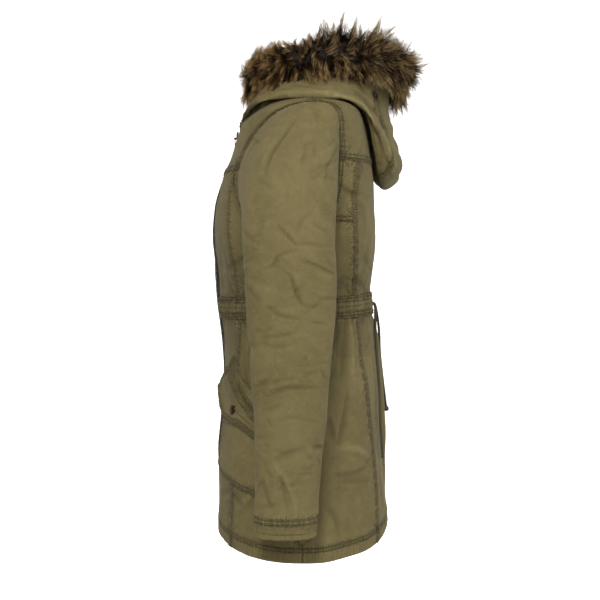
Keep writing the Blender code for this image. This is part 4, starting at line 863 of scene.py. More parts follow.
def makeUpperBody():
    steps = 10  # places between two points of the armhole
    low, top = bodyCut["casingTop"], bodyCut["neck"]
    marks = [bodyCut[key] for key in ("atFrontYoke", "atUnderarm", "atSideTop", "atBackYoke")]
    iFront, iUnder, iSide, iBack = marks
    frontYoke, underarm, sideTop, backYoke = (armholeAt(mark)[1] for mark in marks)

    def armholeLine(first, last):
        return armholeAt(np.linspace(first, last, abs(last - first) * steps + 1))

    below = np.linspace(low, underarm, 40)
    frontLevels = joined(below, np.linspace(underarm, frontYoke, (iUnder - iFront) * steps + 1))
    sideLevels = joined(below, np.linspace(underarm, sideTop, steps + 1))
    backLevels = joined(sideLevels, np.linspace(sideTop, backYoke, (iBack - iSide) * steps + 1))
    sideSeam, princess = line(bodyCut["sideSeam"], below), line(bodyCut["princess"], frontLevels)
    zipEdge, sideBack = line(zipAngle(frontLevels), frontLevels), line(sideBackAngle(backLevels), backLevels)
    toFront, toBack = joined(sideSeam, armholeLine(iUnder, iFront)), joined(sideSeam,
        armholeLine(iUnder, iSide))
    rows = len(toBack)
    share = np.linspace(0, 1, 16)[:, None]
    shoulder = armholeAt(0) * (1 - share) + np.array([90.0, top]) * share
    topFront = joined(armholeLine(iFront, 0), shoulder)
    topBack = joined(armholeLine(iBack, len(armholeTable)), shoulder)
    yokeLevels = np.linspace(frontYoke, top, len(topFront))
    for (side, mirror), seed in zip(bothSides, (1.0, 7.0)):
        yoke = f"front_yoke_{side}"
        bodyPanel(f"front_{side}", zipEdge, princess, edges("placket", "under", "under", "under"), mirror,
            restsOn=yoke, seed=seed)
        bodyPanel(f"side_front_{side}", princess, toFront, edges("over", "over", "under", "under"), mirror,
            restsOn=yoke, seed=seed + 1)
        bodyPanel(f"side_{side}", toBack, sideBack[:rows], edges("under", "under", "under", "under"), mirror,
            seed=seed + 2)
        bodyPanel(f"upper_side_back_{side}", armholeLine(iSide, iBack), sideBack[rows - 1:],
            edges("over", "under", "over", "under"), mirror, seed=seed + 3)
        bodyPanel(yoke, line(zipAngle(yokeLevels), yokeLevels), topFront,
            edges("placket", "over", "over", "under"), mirror, held="laid", seed=seed + 4)
    bodyPanel("back", sideBack, opposite(sideBack), edges("over", "over", "under", "under"), seed=5.5)
    bodyPanel("back_yoke", topBack, opposite(topBack), edges("over", "over", "over", "under"), held="laid",
        restsOn="front_yoke_left", seed=9.5)
    print("upper body made")


def makeCasing():
    levels = np.linspace(bodyCut["casingLow"], bodyCut["casingTop"], 12)
    first = line(zipAngle(levels), levels)
    bodyPanel("waist_casing", first, opposite(first), edges("free", "free", "casing", "casing"),
        pitch=(1.7, 2.2), held="gathered", restsOn="back", seed=3.3, lift=0.6, fullness=1.2, bulge=1.5,
        group="casing", lip=5.0)


def makeSkirt():
    levels = np.linspace(bodyCut["hem"], bodyCut["casingLow"], 60)
    seams = [line(angle, levels) for angle in (zipAngle(levels), bodyCut["princess"], bodyCut["sideSeam"],
        sideBackAngle(levels))]
    common = {"restsOn": "waist_casing", "turnIn": {"v0": 22}, "held": "gathered"}
    for (side, mirror), seed in zip(bothSides, (12.0, 17.0)):
        for number, (name, near, far) in enumerate((("front", "placket", "under"),
                ("side_front", "over", "plain"), ("side_back", "plain", "under"))):
            bodyPanel(f"skirt_{name}_{side}", seams[number], seams[number + 1],
                edges(near, far, "hem", "under"), mirror, seed=seed + number, **common)
    bodyPanel("skirt_back", seams[3], opposite(seams[3]), edges("over", "over", "hem", "under"), seed=15.5,
        **common)
    print("casing and skirt made")


# Sleeves
sleeveCut = {
    # height, middle across x and along y, half width to the side and to the front
    "sections": [(-247, 231, -16, 43, 66), (-290, 233, -14, 43, 66), (-335, 235, -13, 42, 64),
                 (-385, 237, -13, 41, 60), (-440, 239, -14, 39, 56), (-500, 242, -14, 38, 52),
                 (-555, 245, -17, 36, 48), (-612, 248, -19, 34, 45.5), (-662, 250, -21.5, 33, 46)],
    "cuffTop": -633, "square": 2.2, "capReach": 190, "capTopWay": (1.0, 0, -0.36), "capLowWay": (0.55, 0, -1.0),
    "stepsAPoint": 13, "capRows": 64, "rowPitch": 2.6,
    # bends: height, direction, slope, spread both ways and depth
    "bends": [(-300, 60, 0.30, 7, 50, -2.0), (-392, 60, -0.25, 7, 60, -2.4), (-470, 150, 0.35, 8, 45, -2.6),
              (-540, 130, 0.50, 8, 40, -2.6), (-585, 70, 1.00, 8, 35, -1.6)],
    # creases: half width, depth, and places as direction from outside (front above zero) and height
    "creases": [
        (7, -3.0, [(14, -72), (24, -96), (38, -128), (42, -150)]),
        (5, -1.4, [(2, -104), (0, -122), (0, -141)]), (5, -1.3, [(-8, -108), (-15, -130)]),
        (4, -1.2, [(0, -56), (-5, -66), (-8, -76)]), (5, -1.3, [(55, -157), (41, -167), (30, -170)]),
        (5, -2.2, [(22, -222), (17, -227), (-8, -247), (-14, -250)]),
        (6, -2.2, [(-15, -257), (17, -263), (29, -276), (44, -283)]), (5, -1.6, [(-36, -219), (-63, -235)]),
        (5, -1.5, [(-12, -250), (-40, -251), (-77, -254)]),
        (6, -2.4, [(-18, -271), (-40, -276), (-63, -286), (-80, -291)]),
        (6, -2.4, [(12, -286), (0, -295), (-8, -315), (-22, -334), (-44, -337)]),
        (6, -1.6, [(84, -226), (70, -238), (52, -248)]), (6, -1.0, [(83, -276), (55, -266)]),
        (7, -1.6, [(86, -298), (70, -315), (52, -330)]), (6, -2.0, [(46, -334), (17, -350), (-20, -353)]),
        (5, -1.4, [(58, -378), (30, -376), (-4, -372)]), (6, -1.5, [(46, -393), (20, -392), (-12, -388)]),
        (5, -1.8, [(-48, -327), (-80, -327)]), (5, -1.4, [(-36, -355), (-66, -361)]),
        (6, -1.1, [(-20, -172), (-42, -194)]), (4, -1.6, [(-36, -155), (-66, -159)]),
        (6, -1.6, [(44, -444), (17, -437), (-18, -434)]),
        (7, -2.6, [(46, -462), (20, -454), (0, -450), (-56, -450)]),
        (6, -1.9, [(74, -452), (55, -446), (38, -439)]), (6, -1.3, [(58, -484), (36, -476), (14, -471)]),
        (6, -1.3, [(33, -496), (-8, -491), (-56, -499)]), (5, -1.3, [(-56, -426), (-26, -435)]),
        (6, -2.6, [(-48, -531), (-80, -535)]), (8, 1.8, [(32, -552), (17, -569), (-8, -594), (-24, -624)]),
        (7, -2.0, [(58, -576), (50, -595), (38, -614)]), (9, -1.8, [(-34, -531), (8, -540), (33, -551)]),
        (5, -1.6, [(60, -618), (36, -615), (14, -610)]), (7, -1.5, [(20, -560), (8, -594), (-2, -620)]),
        (8, -1.8, [(120, -250), (150, -262), (180, -258)]), (8, -2.0, [(110, -290), (150, -300), (190, -296)]),
        (8, -2.0, [(140, -352), (180, -360), (215, -352)]), (7, -1.8, [(105, -402), (140, -412), (175, -406)]),
        (8, -2.2, [(160, -446), (200, -452), (240, -444)]), (7, -1.8, [(110, -500), (150, -512), (190, -506)]),
        (8, -2.2, [(200, -320), (235, -330), (262, -326)]), (7, -1.8, [(215, -390), (245, -400), (270, -396)]),
        (8, -1.8, [(205, -500), (235, -512), (262, -508)]), (7, -1.6, [(120, -580), (160, -590), (200, -584)]),
        (7, -1.8, [(96, -346), (110, -360), (120, -380)]), (7, -1.8, [(225, -560), (250, -574), (272, -568)]),
    ],
}
sections = np.array(sleeveCut["sections"], float)


def sleeveRing(z, around):
    cx, cy, side, front = (smoothThrough(-sections[:, 0], sections[:, i], -np.asarray(z, float))
        for i in (1, 2, 3, 4))
    turn, square = np.radians(around), sleeveCut["square"]
    outX, outY = np.cos(turn), -np.sin(turn)
    reach = (np.abs(outX / side) ** square + np.abs(outY / front) ** square) ** (-1 / square)
    return np.stack([cx + reach * outX, cy + reach * outY, np.broadcast_to(z, cx.shape)], axis=-1)


def sleeveGrid(heights):
    steps = len(armholeTable) * sleeveCut["stepsAPoint"]
    loop = armholeAt(np.arange(steps) / sleeveCut["stepsAPoint"])
    at = plainBody(loop[:, 0], loop[:, 1])
    share = lengthAlong(at)
    total = share[-1] + np.linalg.norm(at[0] - at[-1])
    under = share[bodyCut["atUnderarm"] * sleeveCut["stepsAPoint"]]
    turn = np.where(share < under, share / under * 180, 180 + (share - under) / (total - under) * 180)
    start = body(loop[:, 0], loop[:, 1], 0.4)
    first = sleeveRing(np.full(len(turn), float(heights[0])), turn)
    low = np.clip((start[:, 2].max() - start[:, 2]) / np.ptp(start[:, 2]), 0, 1)[:, None] ** 1.5
    leave = unit(np.array(sleeveCut["capTopWay"]) * (1 - low) + np.array(sleeveCut["capLowWay"]) * low)
    gap = np.linalg.norm(first - start, axis=1, keepdims=True)
    reach = np.minimum(gap * 0.95, sleeveCut["capReach"])
    t = np.concatenate([[0, 0.004, 0.011, 0.02], np.linspace(0.033, 1, sleeveCut["capRows"])])[None, :, None]
    a, b = start[:, None], first[:, None]
    ta, tb = (leave * reach)[:, None], (np.array([0, 0, -1.0]) * reach)[:, None]
    cap = (a * (1 + 2 * t) * (1 - t) ** 2 + b * t**2 * (3 - 2 * t) + ta * t * (1 - t) ** 2 - tb * t**2
        * (1 - t))
    z = np.broadcast_to(np.asarray(heights[1:], float)[None], (len(turn), len(heights) - 1))
    return np.concatenate([cap, sleeveRing(z, np.broadcast_to(turn[:, None], z.shape))], axis=1), turn


def gridNormals(grid):
    around = np.roll(grid, -1, axis=0) - np.roll(grid, 1, axis=0)
    return unit(np.cross(around, np.gradient(grid, axis=1)))


def makeSleeves():
    cuffTop, end = sleeveCut["cuffTop"], sections[-1, 0]
    count = int((sections[0, 0] - cuffTop - 10) / sleeveCut["rowPitch"])
    heights = np.concatenate([np.linspace(sections[0, 0], cuffTop + 10, count),
        cuffTop + np.array([7, 4.4, 2.2, 0.9, 0])])
    grid, turn = sleeveGrid(heights)
    normal = gridNormals(grid)

    def onSleeve(around, z):
        found = []
        for a, h in zip(around % 360, z):
            i = int(np.argmin(np.abs((turn - a + 180) % 360 - 180)))
            column = grid[i]
            found.append([np.interp(-h, -column[:, 2], column[:, k]) for k in range(3)])
        return np.array(found)

    creases = sleeveCut["creases"]
    rng = np.random.default_rng(5)
    others = [(w * rng.uniform(0.85, 1.2), d * rng.uniform(0.7, 1.15),
        [(a * 0.92 + shift[0], z + shift[1]) for a, z in places]) for w, d,
        places in creases for shift in [(rng.uniform(-14, 14), rng.uniform(-16, 12))]]
    fade = eased((-grid[..., 2] - 240) / 30)
    bend = np.zeros(grid.shape[:2])
    for z, around, slope, spreadZ, spreadAround, depth in sleeveCut["bends"]:
        away = (turn[:, None] - around + 180) % 360 - 180
        bend += depth * hump(grid[..., 2] - z - slope * away, spreadZ) * np.exp(-((away / spreadAround) ** 2))
    cuffRows = np.array([0, -0.8, -1.9, -3.0, -4.8, -6.4, -7.4, -8.6, -10.4, -13, -16, -19, -22, -24.6, -26.4,
        -27.9, -29])
    cuffZ = np.broadcast_to((cuffTop + cuffRows)[None], (len(turn), len(cuffRows)))
    cuffBase = sleeveRing(cuffZ, np.broadcast_to(turn[:, None], cuffZ.shape))
    cuffNormal = gridNormals(cuffBase)
    for side, way, used, seed in (("left", 1, creases, 2.0), ("right", -1, others, 8.0)):
        lines = creaseLines(onSleeve, [(w * 0.62, d, places) for w, d, places in used], 0.95)
        lines += strewnCreases(onSleeve, 80 + int(seed), 75, (-100, -630), (260, -200, 0.95), slant=28)
        lines += strewnCreases(onSleeve, 90 + int(seed), 16, (-60, -190), (60, -70, 0.95), slant=70)
        creased = creaseHeight(grid, lines)
        out = creased + bend * fade
        out = out + 0.8 * unevenness(grid, (24, 24, 40), 20 + int(seed)) + 0.4 * unevenness(grid, (10, 10, 15),
            30 + int(seed))
        start = eased(np.arange(grid.shape[1])[None] / 6)
        turned = np.array([way, 1, 1])
        # crease troughs get painted shade, and ridges get pale wear with painted highlight
        sleeve = sewn(f"sleeve_{side}", grid * turned, normal * turned, out * start,
            {"v0": "under", "v1": "under"}, ring=True, seed=seed, group="sleeves", folds=creased * start)
        addTo(sleeve, f"sleeve_{side}")
        declareSheet(sleeve)
        near = creaseHeight(cuffBase, lines) + 0.5 * unevenness(cuffBase, (14, 14, 20), 40 + int(seed))
        cuff = sewn(f"cuff_{side}", cuffBase * turned, cuffNormal * turned, near, {"v0": "over", "v1": "free"},
            ring=True, seed=seed + 1, group="sleeves", turnIn={"v1": 24})
        addTo(cuff, f"cuff_{side}")
        declareSheet(cuff)
    print("sleeves made")


# Hood
hoodCut = {
    "axisY": 30, "seamAzimuth": 146, "frontHalf": 3.0,
    # azimuth, over_r, over_z, in_r, low_z, out_r, out_z, waist_r, waist_z, edge_r, edge_z
    "profiles": [
        (0, 127, -56, 127, -52, 123, -48, 113, -27, 105, -5),
        (25, 117, -36, 124, -46, 129, -43, 117, -23, 106, -3),
        (50, 96, 2, 111, -15, 142, -33, 122, -9, 106, 3), (75, 77, 10, 103, -12, 150, -29, 127, -6, 105, 5),
        (100, 62, 10, 100, -17, 150, -31, 127, -9, 106, 5), (118, 52, 10, 99, -29, 145, -48, 126, -16, 108, 4),
        (125, 50, 9, 118, -50, 142, -64, 123, -22, 109, 3), (132, 48, 9, 122, -98, 140, -84, 120, -28, 110, 2),
        (140, 46, 9, 114, -132, 138, -104, 118, -35, 112, 0),
        (160, 44, 8, 98, -154, 137, -116, 116, -43, 115, -2),
        (180, 42, 8, 92, -159, 135, -119, 115, -44, 117, -3),
    ],
    # creases: half width, depth, places as azimuth and share along from the neck to the fur
    "creases": [
        (11, -3.6, [(114, 0.89), (126, 0.872), (134, 0.866), (147, 0.852)]),
        (9, -3.0, [(141, 0.93), (136, 0.87), (138, 0.84), (155, 0.85)]),
        (14, 2.8, [(80, 0.845), (92, 0.81), (104, 0.775), (118, 0.742), (128, 0.70)]),
        (9, -2.6, [(60, 0.80), (76, 0.795), (96, 0.765), (112, 0.72)]),
        (9, -2.2, [(124, 0.78), (130, 0.70), (136, 0.62)]),
        (11, 2.4, [(140, 0.82), (142, 0.766), (146, 0.699), (150, 0.64)]),
        (8, -2.0, [(70, 0.90), (80, 0.865), (95, 0.85)]),
        (10, -2.6, [(152, 0.84), (168, 0.80), (186, 0.79), (205, 0.82)]),
        (10, -2.2, [(160, 0.72), (178, 0.69), (198, 0.71)]),
        (11, 2.2, [(165, 0.88), (180, 0.86), (196, 0.88)]),
        (10, -2.8, [(213, 0.85), (225, 0.87), (240, 0.885), (252, 0.90)]),
        (12, 2.6, [(232, 0.70), (244, 0.745), (258, 0.78), (276, 0.83)]),
        (9, -2.4, [(246, 0.73), (262, 0.765), (284, 0.80), (300, 0.80)]),
        (8, -2.0, [(222, 0.62), (229, 0.70), (236, 0.78)]), (9, -2.2, [(20, 0.62), (34, 0.70), (50, 0.76)]),
        (8, -1.8, [(16, 0.84), (32, 0.87), (48, 0.88)]), (9, -2.2, [(340, 0.62), (328, 0.70), (312, 0.76)]),
        (8, -1.8, [(344, 0.84), (330, 0.87), (314, 0.88)]),
    ],
}
profiles = np.array(hoodCut["profiles"], float)
hoodEyelet = (139, 0.93, 0.5)  # azimuth, share of the way to the hood's edge, height over the cloth
neckAngles = np.linspace(float(zipAngle(bodyCut["neck"])), 180, 400)
neckLine = plainBody(neckAngles, np.full(neckAngles.shape, float(bodyCut["neck"])))
neckLine[0] = (0, *neckLine[0, 1:])
neckAhead = hoodCut["axisY"] - neckLine[:, 1]
neckTable = np.stack([np.hypot(neckLine[:, 0], neckAhead), neckLine[:, 2]], axis=-1)


def neckSeam(azimuth):
    # radius and height of the seam that the hood is sewn to
    at = pointsAlong(neckTable, np.degrees(np.arctan2(neckLine[:, 0], neckAhead)), azimuth)
    return at[..., 0], at[..., 1]


def hoodColumn(i, folded):
    return smoothThrough(profiles[:, 0], profiles[:, i], folded, flat=True)


def hood(azimuth, along):
    azimuth, along = np.broadcast_arrays(np.asarray(azimuth, float), np.asarray(along, float))
    folded = np.minimum(azimuth, 360 - azimuth)
    turn = np.radians(azimuth)
    overR, overZ, inR, lowZ, outR, outZ, waistR, waistZ, edgeR, edgeZ = (hoodColumn(i, folded)
        for i in range(1, 11))
    width, drop, lift = outR - inR, lowZ - overZ, outZ - lowZ
    stops = np.stack([np.stack([r * np.sin(turn), hoodCut["axisY"] - r * np.cos(turn), z], axis=-1) for r,
        z in [neckSeam(folded), (overR, overZ), (inR - 0.25 * (inR - overR), overZ + 0.30 * drop),
        (inR + 0.02 * width, overZ + 0.75 * drop), (inR + 0.15 * width, overZ + 0.96 * drop),
        (inR + 0.48 * width, lowZ), (outR - 0.10 * width, lowZ + 0.40 * lift), (outR, outZ), (waistR, waistZ),
        (edgeR, edgeZ)]])
    return curveThrough(stops, along * (len(stops) - 1))


def hoodNormal(azimuth, along):
    return normalsOf(hood, np.asarray(azimuth, float), np.clip(np.asarray(along, float), 0.012, 0.988), 0.5,
        0.01)


def darkenAt(piece, spots, radius):
    # the cloth in and close round an eyelet is in shadow
    points = np.empty(len(piece.data.vertices) * 3)
    piece.data.vertices.foreach_get("co", points)
    away = np.min([np.linalg.norm(points.reshape(-1, 3) / mm - spot, axis=1) for spot in spots], axis=0)
    shade = np.empty(len(away))
    layer = piece.data.attributes["dark"].data
    layer.foreach_get("value", shade)
    layer.foreach_set("value", np.maximum(shade, 1 - eased((away - 0.7 * radius) / (0.5 * radius))))


def makeHood():
    front = math.degrees(math.atan2(hoodCut["frontHalf"], hoodCut["axisY"] - ringTable[-1, 4]))
    along = np.linspace(0, 1, 160)
    seam = hoodCut["seamAzimuth"]
    creases = creaseLines(hood, [(w * 0.8, d, places) for w, d, places in hoodCut["creases"]], 1.5)
    creases += strewnCreases(hood, 61, 60, (20, 0.55), (340, 0.985, 0.5, 0.0032), slant=60)
    panels = [("hood_left", front, seam, edges("over", "over", "over", "none"), 4.0),
        ("hood_centre", seam, 360 - seam, edges("under", "under", "over", "none"), 5.0),
        ("hood_right", 360 - seam, 360 - front, edges("over", "over", "over", "none"), 6.0)]
    for name, first, last, kinds, seed in panels:
        azimuth, share = gridBetween(hood, line(first, along), line(last, along), kinds, 2.8, 2.8)
        base, normal = hood(azimuth, share), hoodNormal(azimuth, share)
        free = eased(share / 0.12)
        creased = creaseHeight(base, creases)
        out = creased + free * 1.9 * unevenness(base, (30, 30, 24), 51)
        out = out + free * 0.6 * unevenness(base, (13, 13, 13), 52)
        # crease troughs get painted shade, and ridges get pale wear with painted highlight
        piece = sewn(name, base, normal, out, kinds, seed=seed, group="hood", folds=creased)
        darkenAt(piece, [hood(np.array(a), np.array(hoodEyelet[1]))
            for a in (hoodEyelet[0], 360 - hoodEyelet[0])], 8.5)
        addTo(piece, name)
        declareSheet(piece)
    print("hood made")


# Fur
furCut = {
    # azimuth, in_r, top_z, out_r, out_z, under_r, low_r, low_z
    "sections": [(0, 62, 68, 119, 26, 114, 113, -10), (40, 58, 67, 127, 28, 121, 118, -3),
                 (75, 58, 78, 140, 36, 133, 123, 7), (105, 58, 96, 149, 44, 141, 125, 5),
                 (140, 62, 91, 164, 38, 150, 131, -20), (180, 68, 80, 175, 31, 150, 136, -44)],
    "core": 0.5, "combRound": -6.5, "combOver": 0.01, "strands": 12200, "width": 0.8, "clump": 8.2,
    "gather": 0.9, "stray": 60.0, "droop": 0.10, "pieces": 4, "seed": 3,
    # hairs part along the outside, upward above it and downward below
    "part": 0.065,
    # tips reach further up at the front and less far down at the back
    "reach": 0.98, "frontReach": 0.2, "frontFlat": -0.16, "lowReach": 0.20, "backReach": -0.10, "hang": -14,
    # azimuth and how far the tips on top stand up beyond the roll
    "rise": [(0, 3), (25, -6), (45, -14), (70, -18), (85, -8), (100, 2), (130, 4), (180, 2)],
}
furTable = np.array(furCut["sections"], float)


def furSection(azimuth, turn, size=1.0):
    # turn runs once round the roll of fur from its outer side, size from its root line, 0, to its outline, 1
    azimuth, turn = np.broadcast_arrays(np.asarray(azimuth, float), np.asarray(turn, float) % 1.0)
    folded = np.minimum(azimuth % 360, 360 - azimuth % 360)
    inR, topZ, outR, outZ, underR, lowR, lowZ = (smoothThrough(furTable[:, 0], furTable[:, i], folded,
        flat=True) for i in range(1, 8))
    edgeR, edgeZ = hoodColumn(9, folded), hoodColumn(10, folded)
    width, rise = outR - inR, topZ - edgeZ
    stops = np.stack([np.stack([r, z], axis=-1) for r, z in ((outR, outZ),
        (outR - 0.14 * width, outZ + 0.62 * (topZ - outZ)), (inR + 0.52 * width, topZ),
        (inR + 0.20 * width, topZ - 0.12 * rise), (inR, edgeZ + 0.52 * rise),
        (inR + 0.06 * width, edgeZ + 0.24 * rise), (edgeR - 12, edgeZ + 5), (edgeR + 2, edgeZ + 4),
        (lowR, lowZ), (underR, lowZ + 0.45 * (outZ - lowZ)))])
    on = curveThrough(stops, turn * len(stops), closed=True)
    root = np.stack([edgeR + 6, edgeZ + 0.30 * rise], axis=-1)
    r, z = np.moveaxis(root + (on - root) * np.asarray(size)[..., None], -1, 0)
    a = np.radians(azimuth)
    return np.stack([r * np.sin(a), hoodCut["axisY"] - r * np.cos(a), z], axis=-1)


def gridFaces(nu, nv, closedU, closedV):
    # four-sided faces between a grid's points, joined round where it is closed
    number = np.arange(nu * nv).reshape(nu, nv)
    rowEnd, columnEnd = nu if closedU else nu - 1, nv if closedV else nv - 1
    i, k = np.meshgrid(np.arange(rowEnd), np.arange(columnEnd), indexing="ij")
    j, n = (i + 1) % nu, (k + 1) % nv
    return np.stack([number[i, k], number[j, k], number[j, n], number[i, n]], axis=-1).reshape(-1, 4)


def startTree(name, sizes):
    # a Geometry Nodes tree with a geometry input and named sizes
    tree = bpy.data.node_groups.new(name, "GeometryNodeTree")
    for way in ("INPUT", "OUTPUT"):
        tree.interface.new_socket(name="Geometry", in_out=way, socket_type="NodeSocketGeometry")
    named = {}
    for key, value in sizes.items():
        kind = "NodeSocketInt" if isinstance(value, int) else "NodeSocketFloat"
        socket = tree.interface.new_socket(name=key, in_out="INPUT", socket_type=kind)
        socket.default_value = value
        named[key] = socket.identifier
    return tree, partial(addNode, tree), tree.nodes.new("NodeGroupInput").outputs, named


def endTree(add, geometry, material):
    real = add("GeometryNodeRealizeInstances", {0: geometry})
    last = add("GeometryNodeSetMaterial", {"Geometry": real, "Material": material})
    add("NodeGroupOutput", {0: last}, None)


def grown(thing, tree, named, sizes):
    modifier = thing.modifiers.new(tree.name, "NODES")
    modifier.node_group = tree
    for key, value in sizes.items():
        modifier[named[key]] = value
    return baked(thing)


# How hairs differ from one another, and how far back and up they may reach beyond the solid roll, in metres
hairSizes = {"clumpTall": (0.6, 1.18), "ownTall": (0.5, 1.12), "longer": 0.09, "tipWidth": 0.12, "bow": 0.028,
    "lockNoise": 44.0, "ownNoise": 420.0, "bowNoise": 130.0, "reach": (1.0, 0.223, 0.129)}


def furTree():
    tree, add, of, named = startTree("fur strands", {"Density": 60000.0, "Width": 0.0009, "Clump Size": 0.015,
        "Gather": 0.8, "Stray": 0.005, "Droop": 0.1, "Seed": 1})
    multiply = {"operation": "MULTIPLY"}
    comb, root, tipOf = (add("GeometryNodeInputNamedAttribute", {"Name": name}, data_type=kind)
        for name, kind in (("comb", "FLOAT_VECTOR"), ("root", "FLOAT_VECTOR"), ("tip", "FLOAT")))
    strand, ownTall, spin = (add("FunctionNodeRandomValue", {"Min": low, "Max": high, "Seed": seed}, 1,
        data_type="FLOAT") for low, high, seed in ((0.0, 1.0, of["Seed"]), (*hairSizes["ownTall"], 8),
        (0.0, 6.283, 5)))
    spots = add("GeometryNodeDistributePointsOnFaces", {"Mesh": of["Geometry"], "Density": of["Density"],
        "Seed": of["Seed"]}, "Points", distribute_method="RANDOM")
    at = add("GeometryNodeInputPosition")
    for name, value, kind in (("root", at, "FLOAT_VECTOR"), ("strand", strand, "FLOAT")):
        spots = add("GeometryNodeStoreNamedAttribute", {"Geometry": spots, "Name": name, "Value": value},
            data_type=kind, domain="POINT")
    perSize = add("Math", {0: 1.0, 1: of["Clump Size"]}, operation="DIVIDE")
    cell = add("TexVoronoi", {"Vector": at, "Scale": perSize}, "Color")
    low, high = hairSizes["clumpTall"]
    cellTall = add("MapRange", {0: add("SeparateXYZ", {0: cell}), 3: low, 4: high})
    # a few hairs are much longer
    longer = add("Math", {0: ownTall, 1: 9.0}, operation="POWER")
    ownTall = add("Math", {0: longer, 1: hairSizes["longer"], 2: ownTall}, operation="MULTIPLY_ADD")
    combed = tall = add("VectorMath", {0: comb}, "Value", operation="LENGTH")
    for factor in (cellTall, ownTall):
        tall = add("Math", {0: tall, 1: factor}, **multiply)
    # one hair is a flat blade that narrows to its tip
    blade = add("GeometryNodeMeshGrid", {"Size X": 1.0, "Size Y": 1.0, "Vertices X": 2, "Vertices Y": 5})
    flat = add("SeparateXYZ", {0: add("GeometryNodeInputPosition")}, None).outputs
    tip = add("Math", {0: flat[1], 1: 0.5}, operation="ADD")
    narrow = add("MapRange", {0: tip, 1: 0.15, 2: 1.0, 3: 1.0, 4: hairSizes["tipWidth"]})
    wide = flat[0]
    for factor in (narrow, of["Width"]):
        wide = add("Math", {0: wide, 1: factor}, **multiply)
    shaped = add("CombineXYZ", {0: wide, 1: 0.0, 2: tip})
    blade = add("GeometryNodeStoreNamedAttribute", {"Geometry": blade, "Name": "tip", "Value": tip},
        data_type="FLOAT", domain="POINT")
    blade = add("GeometryNodeSetPosition", {"Geometry": blade, "Position": shaped})
    spin = add("FunctionNodeAxisAngleToRotation", {"Axis": (0.0, 0.0, 1.0), "Angle": spin})
    aim = add("FunctionNodeAlignRotationToVector", {"Rotation": spin, "Vector": comb}, axis="Z")
    strands = add("GeometryNodeInstanceOnPoints", {"Points": spots, "Instance": blade, "Rotation": aim,
        "Scale": add("CombineXYZ", {0: 1.0, 1: 1.0, 2: tall})})
    real = add("GeometryNodeRealizeInstances", {0: strands})
    # tips lean together into locks, stray a little and hang down
    lock = add("TexVoronoi", {"Vector": root, "Scale": perSize}, "Position")
    toLock = add("VectorMath", {0: lock, 1: root}, operation="SUBTRACT")
    bent = add("Math", {0: tipOf, 1: 0.8}, operation="POWER")
    bent = add("Math", {0: bent, 1: of["Gather"]}, **multiply)
    toLock = add("VectorMath", {0: toLock, 3: bent}, operation="SCALE")
    soft = add("TexNoise", {"Vector": lock, "Scale": hairSizes["lockNoise"], "Detail": 2.0, "Roughness": 0.7},
        "Color")
    own = add("TexNoise", {"Vector": root, "Scale": hairSizes["ownNoise"], "Detail": 1.0}, "Color")
    own = add("VectorMath", {0: own, 3: 0.45}, operation="SCALE")
    both = add("VectorMath", {0: soft, 1: (4.0, 4.0, 4.0), 2: own}, operation="MULTIPLY_ADD")
    stray = add("VectorMath", {0: both, 1: (2.225, 2.225, 2.225)}, operation="SUBTRACT")
    square = add("Math", {0: tipOf, 1: 1.7}, operation="POWER")
    far, hang = square, combed
    for factor in (of["Stray"], 0.5):
        far = add("Math", {0: far, 1: factor}, **multiply)
    stray = add("VectorMath", {0: stray, 3: far}, operation="SCALE")
    for factor in (of["Droop"], square, -1.0):
        hang = add("Math", {0: hang, 1: factor}, **multiply)
    down = add("CombineXYZ", {2: hang})
    # and bow a little on the way
    wave = add("TexNoise", {"Vector": lock, "Scale": hairSizes["bowNoise"], "Detail": 1.0}, "Color")
    wave = add("VectorMath", {0: wave, 1: (0.5, 0.5, 0.5)}, operation="SUBTRACT")
    arch = add("Math", {0: add("Math", {0: tipOf, 1: math.pi}, **multiply)}, operation="SINE")
    arch = add("Math", {0: arch, 1: hairSizes["bow"]}, **multiply)
    shift = toLock
    for other in (add("VectorMath", {0: wave, 3: arch}, operation="SCALE"), stray, down):
        shift = add("VectorMath", {0: shift, 1: other}, operation="ADD")
    moved = add("GeometryNodeSetPosition", {"Geometry": real, "Offset": shift})
    # no hair reaches far beyond the solid roll
    kept = add("VectorMath", {0: add("GeometryNodeInputPosition"), 1: hairSizes["reach"]}, operation="MINIMUM")
    endTree(add, add("GeometryNodeSetPosition", {"Geometry": moved, "Position": kept}), fur)
    return tree, named


def rowTree(name, sizes, kind, shapeInputs, material, **settings):
    # small pieces at an even pitch along lines, each pointing along its line
    tree, add, of, named = startTree(name, sizes)
    path = add("GeometryNodeMeshToCurve", {"Mesh": of["Geometry"]})
    spots = add("GeometryNodeCurveToPoints", {"Curve": path, "Length": of["Pitch"]}, None,
        mode="LENGTH").outputs
    shape = add(kind, shapeInputs(add, of), **settings)
    aim = add("FunctionNodeAlignRotationToVector", {"Vector": spots["Tangent"]}, axis="Z")
    rows = add("GeometryNodeInstanceOnPoints", {"Points": spots["Points"], "Instance": shape, "Rotation": aim})
    endTree(add, rows, material)
    return tree, named


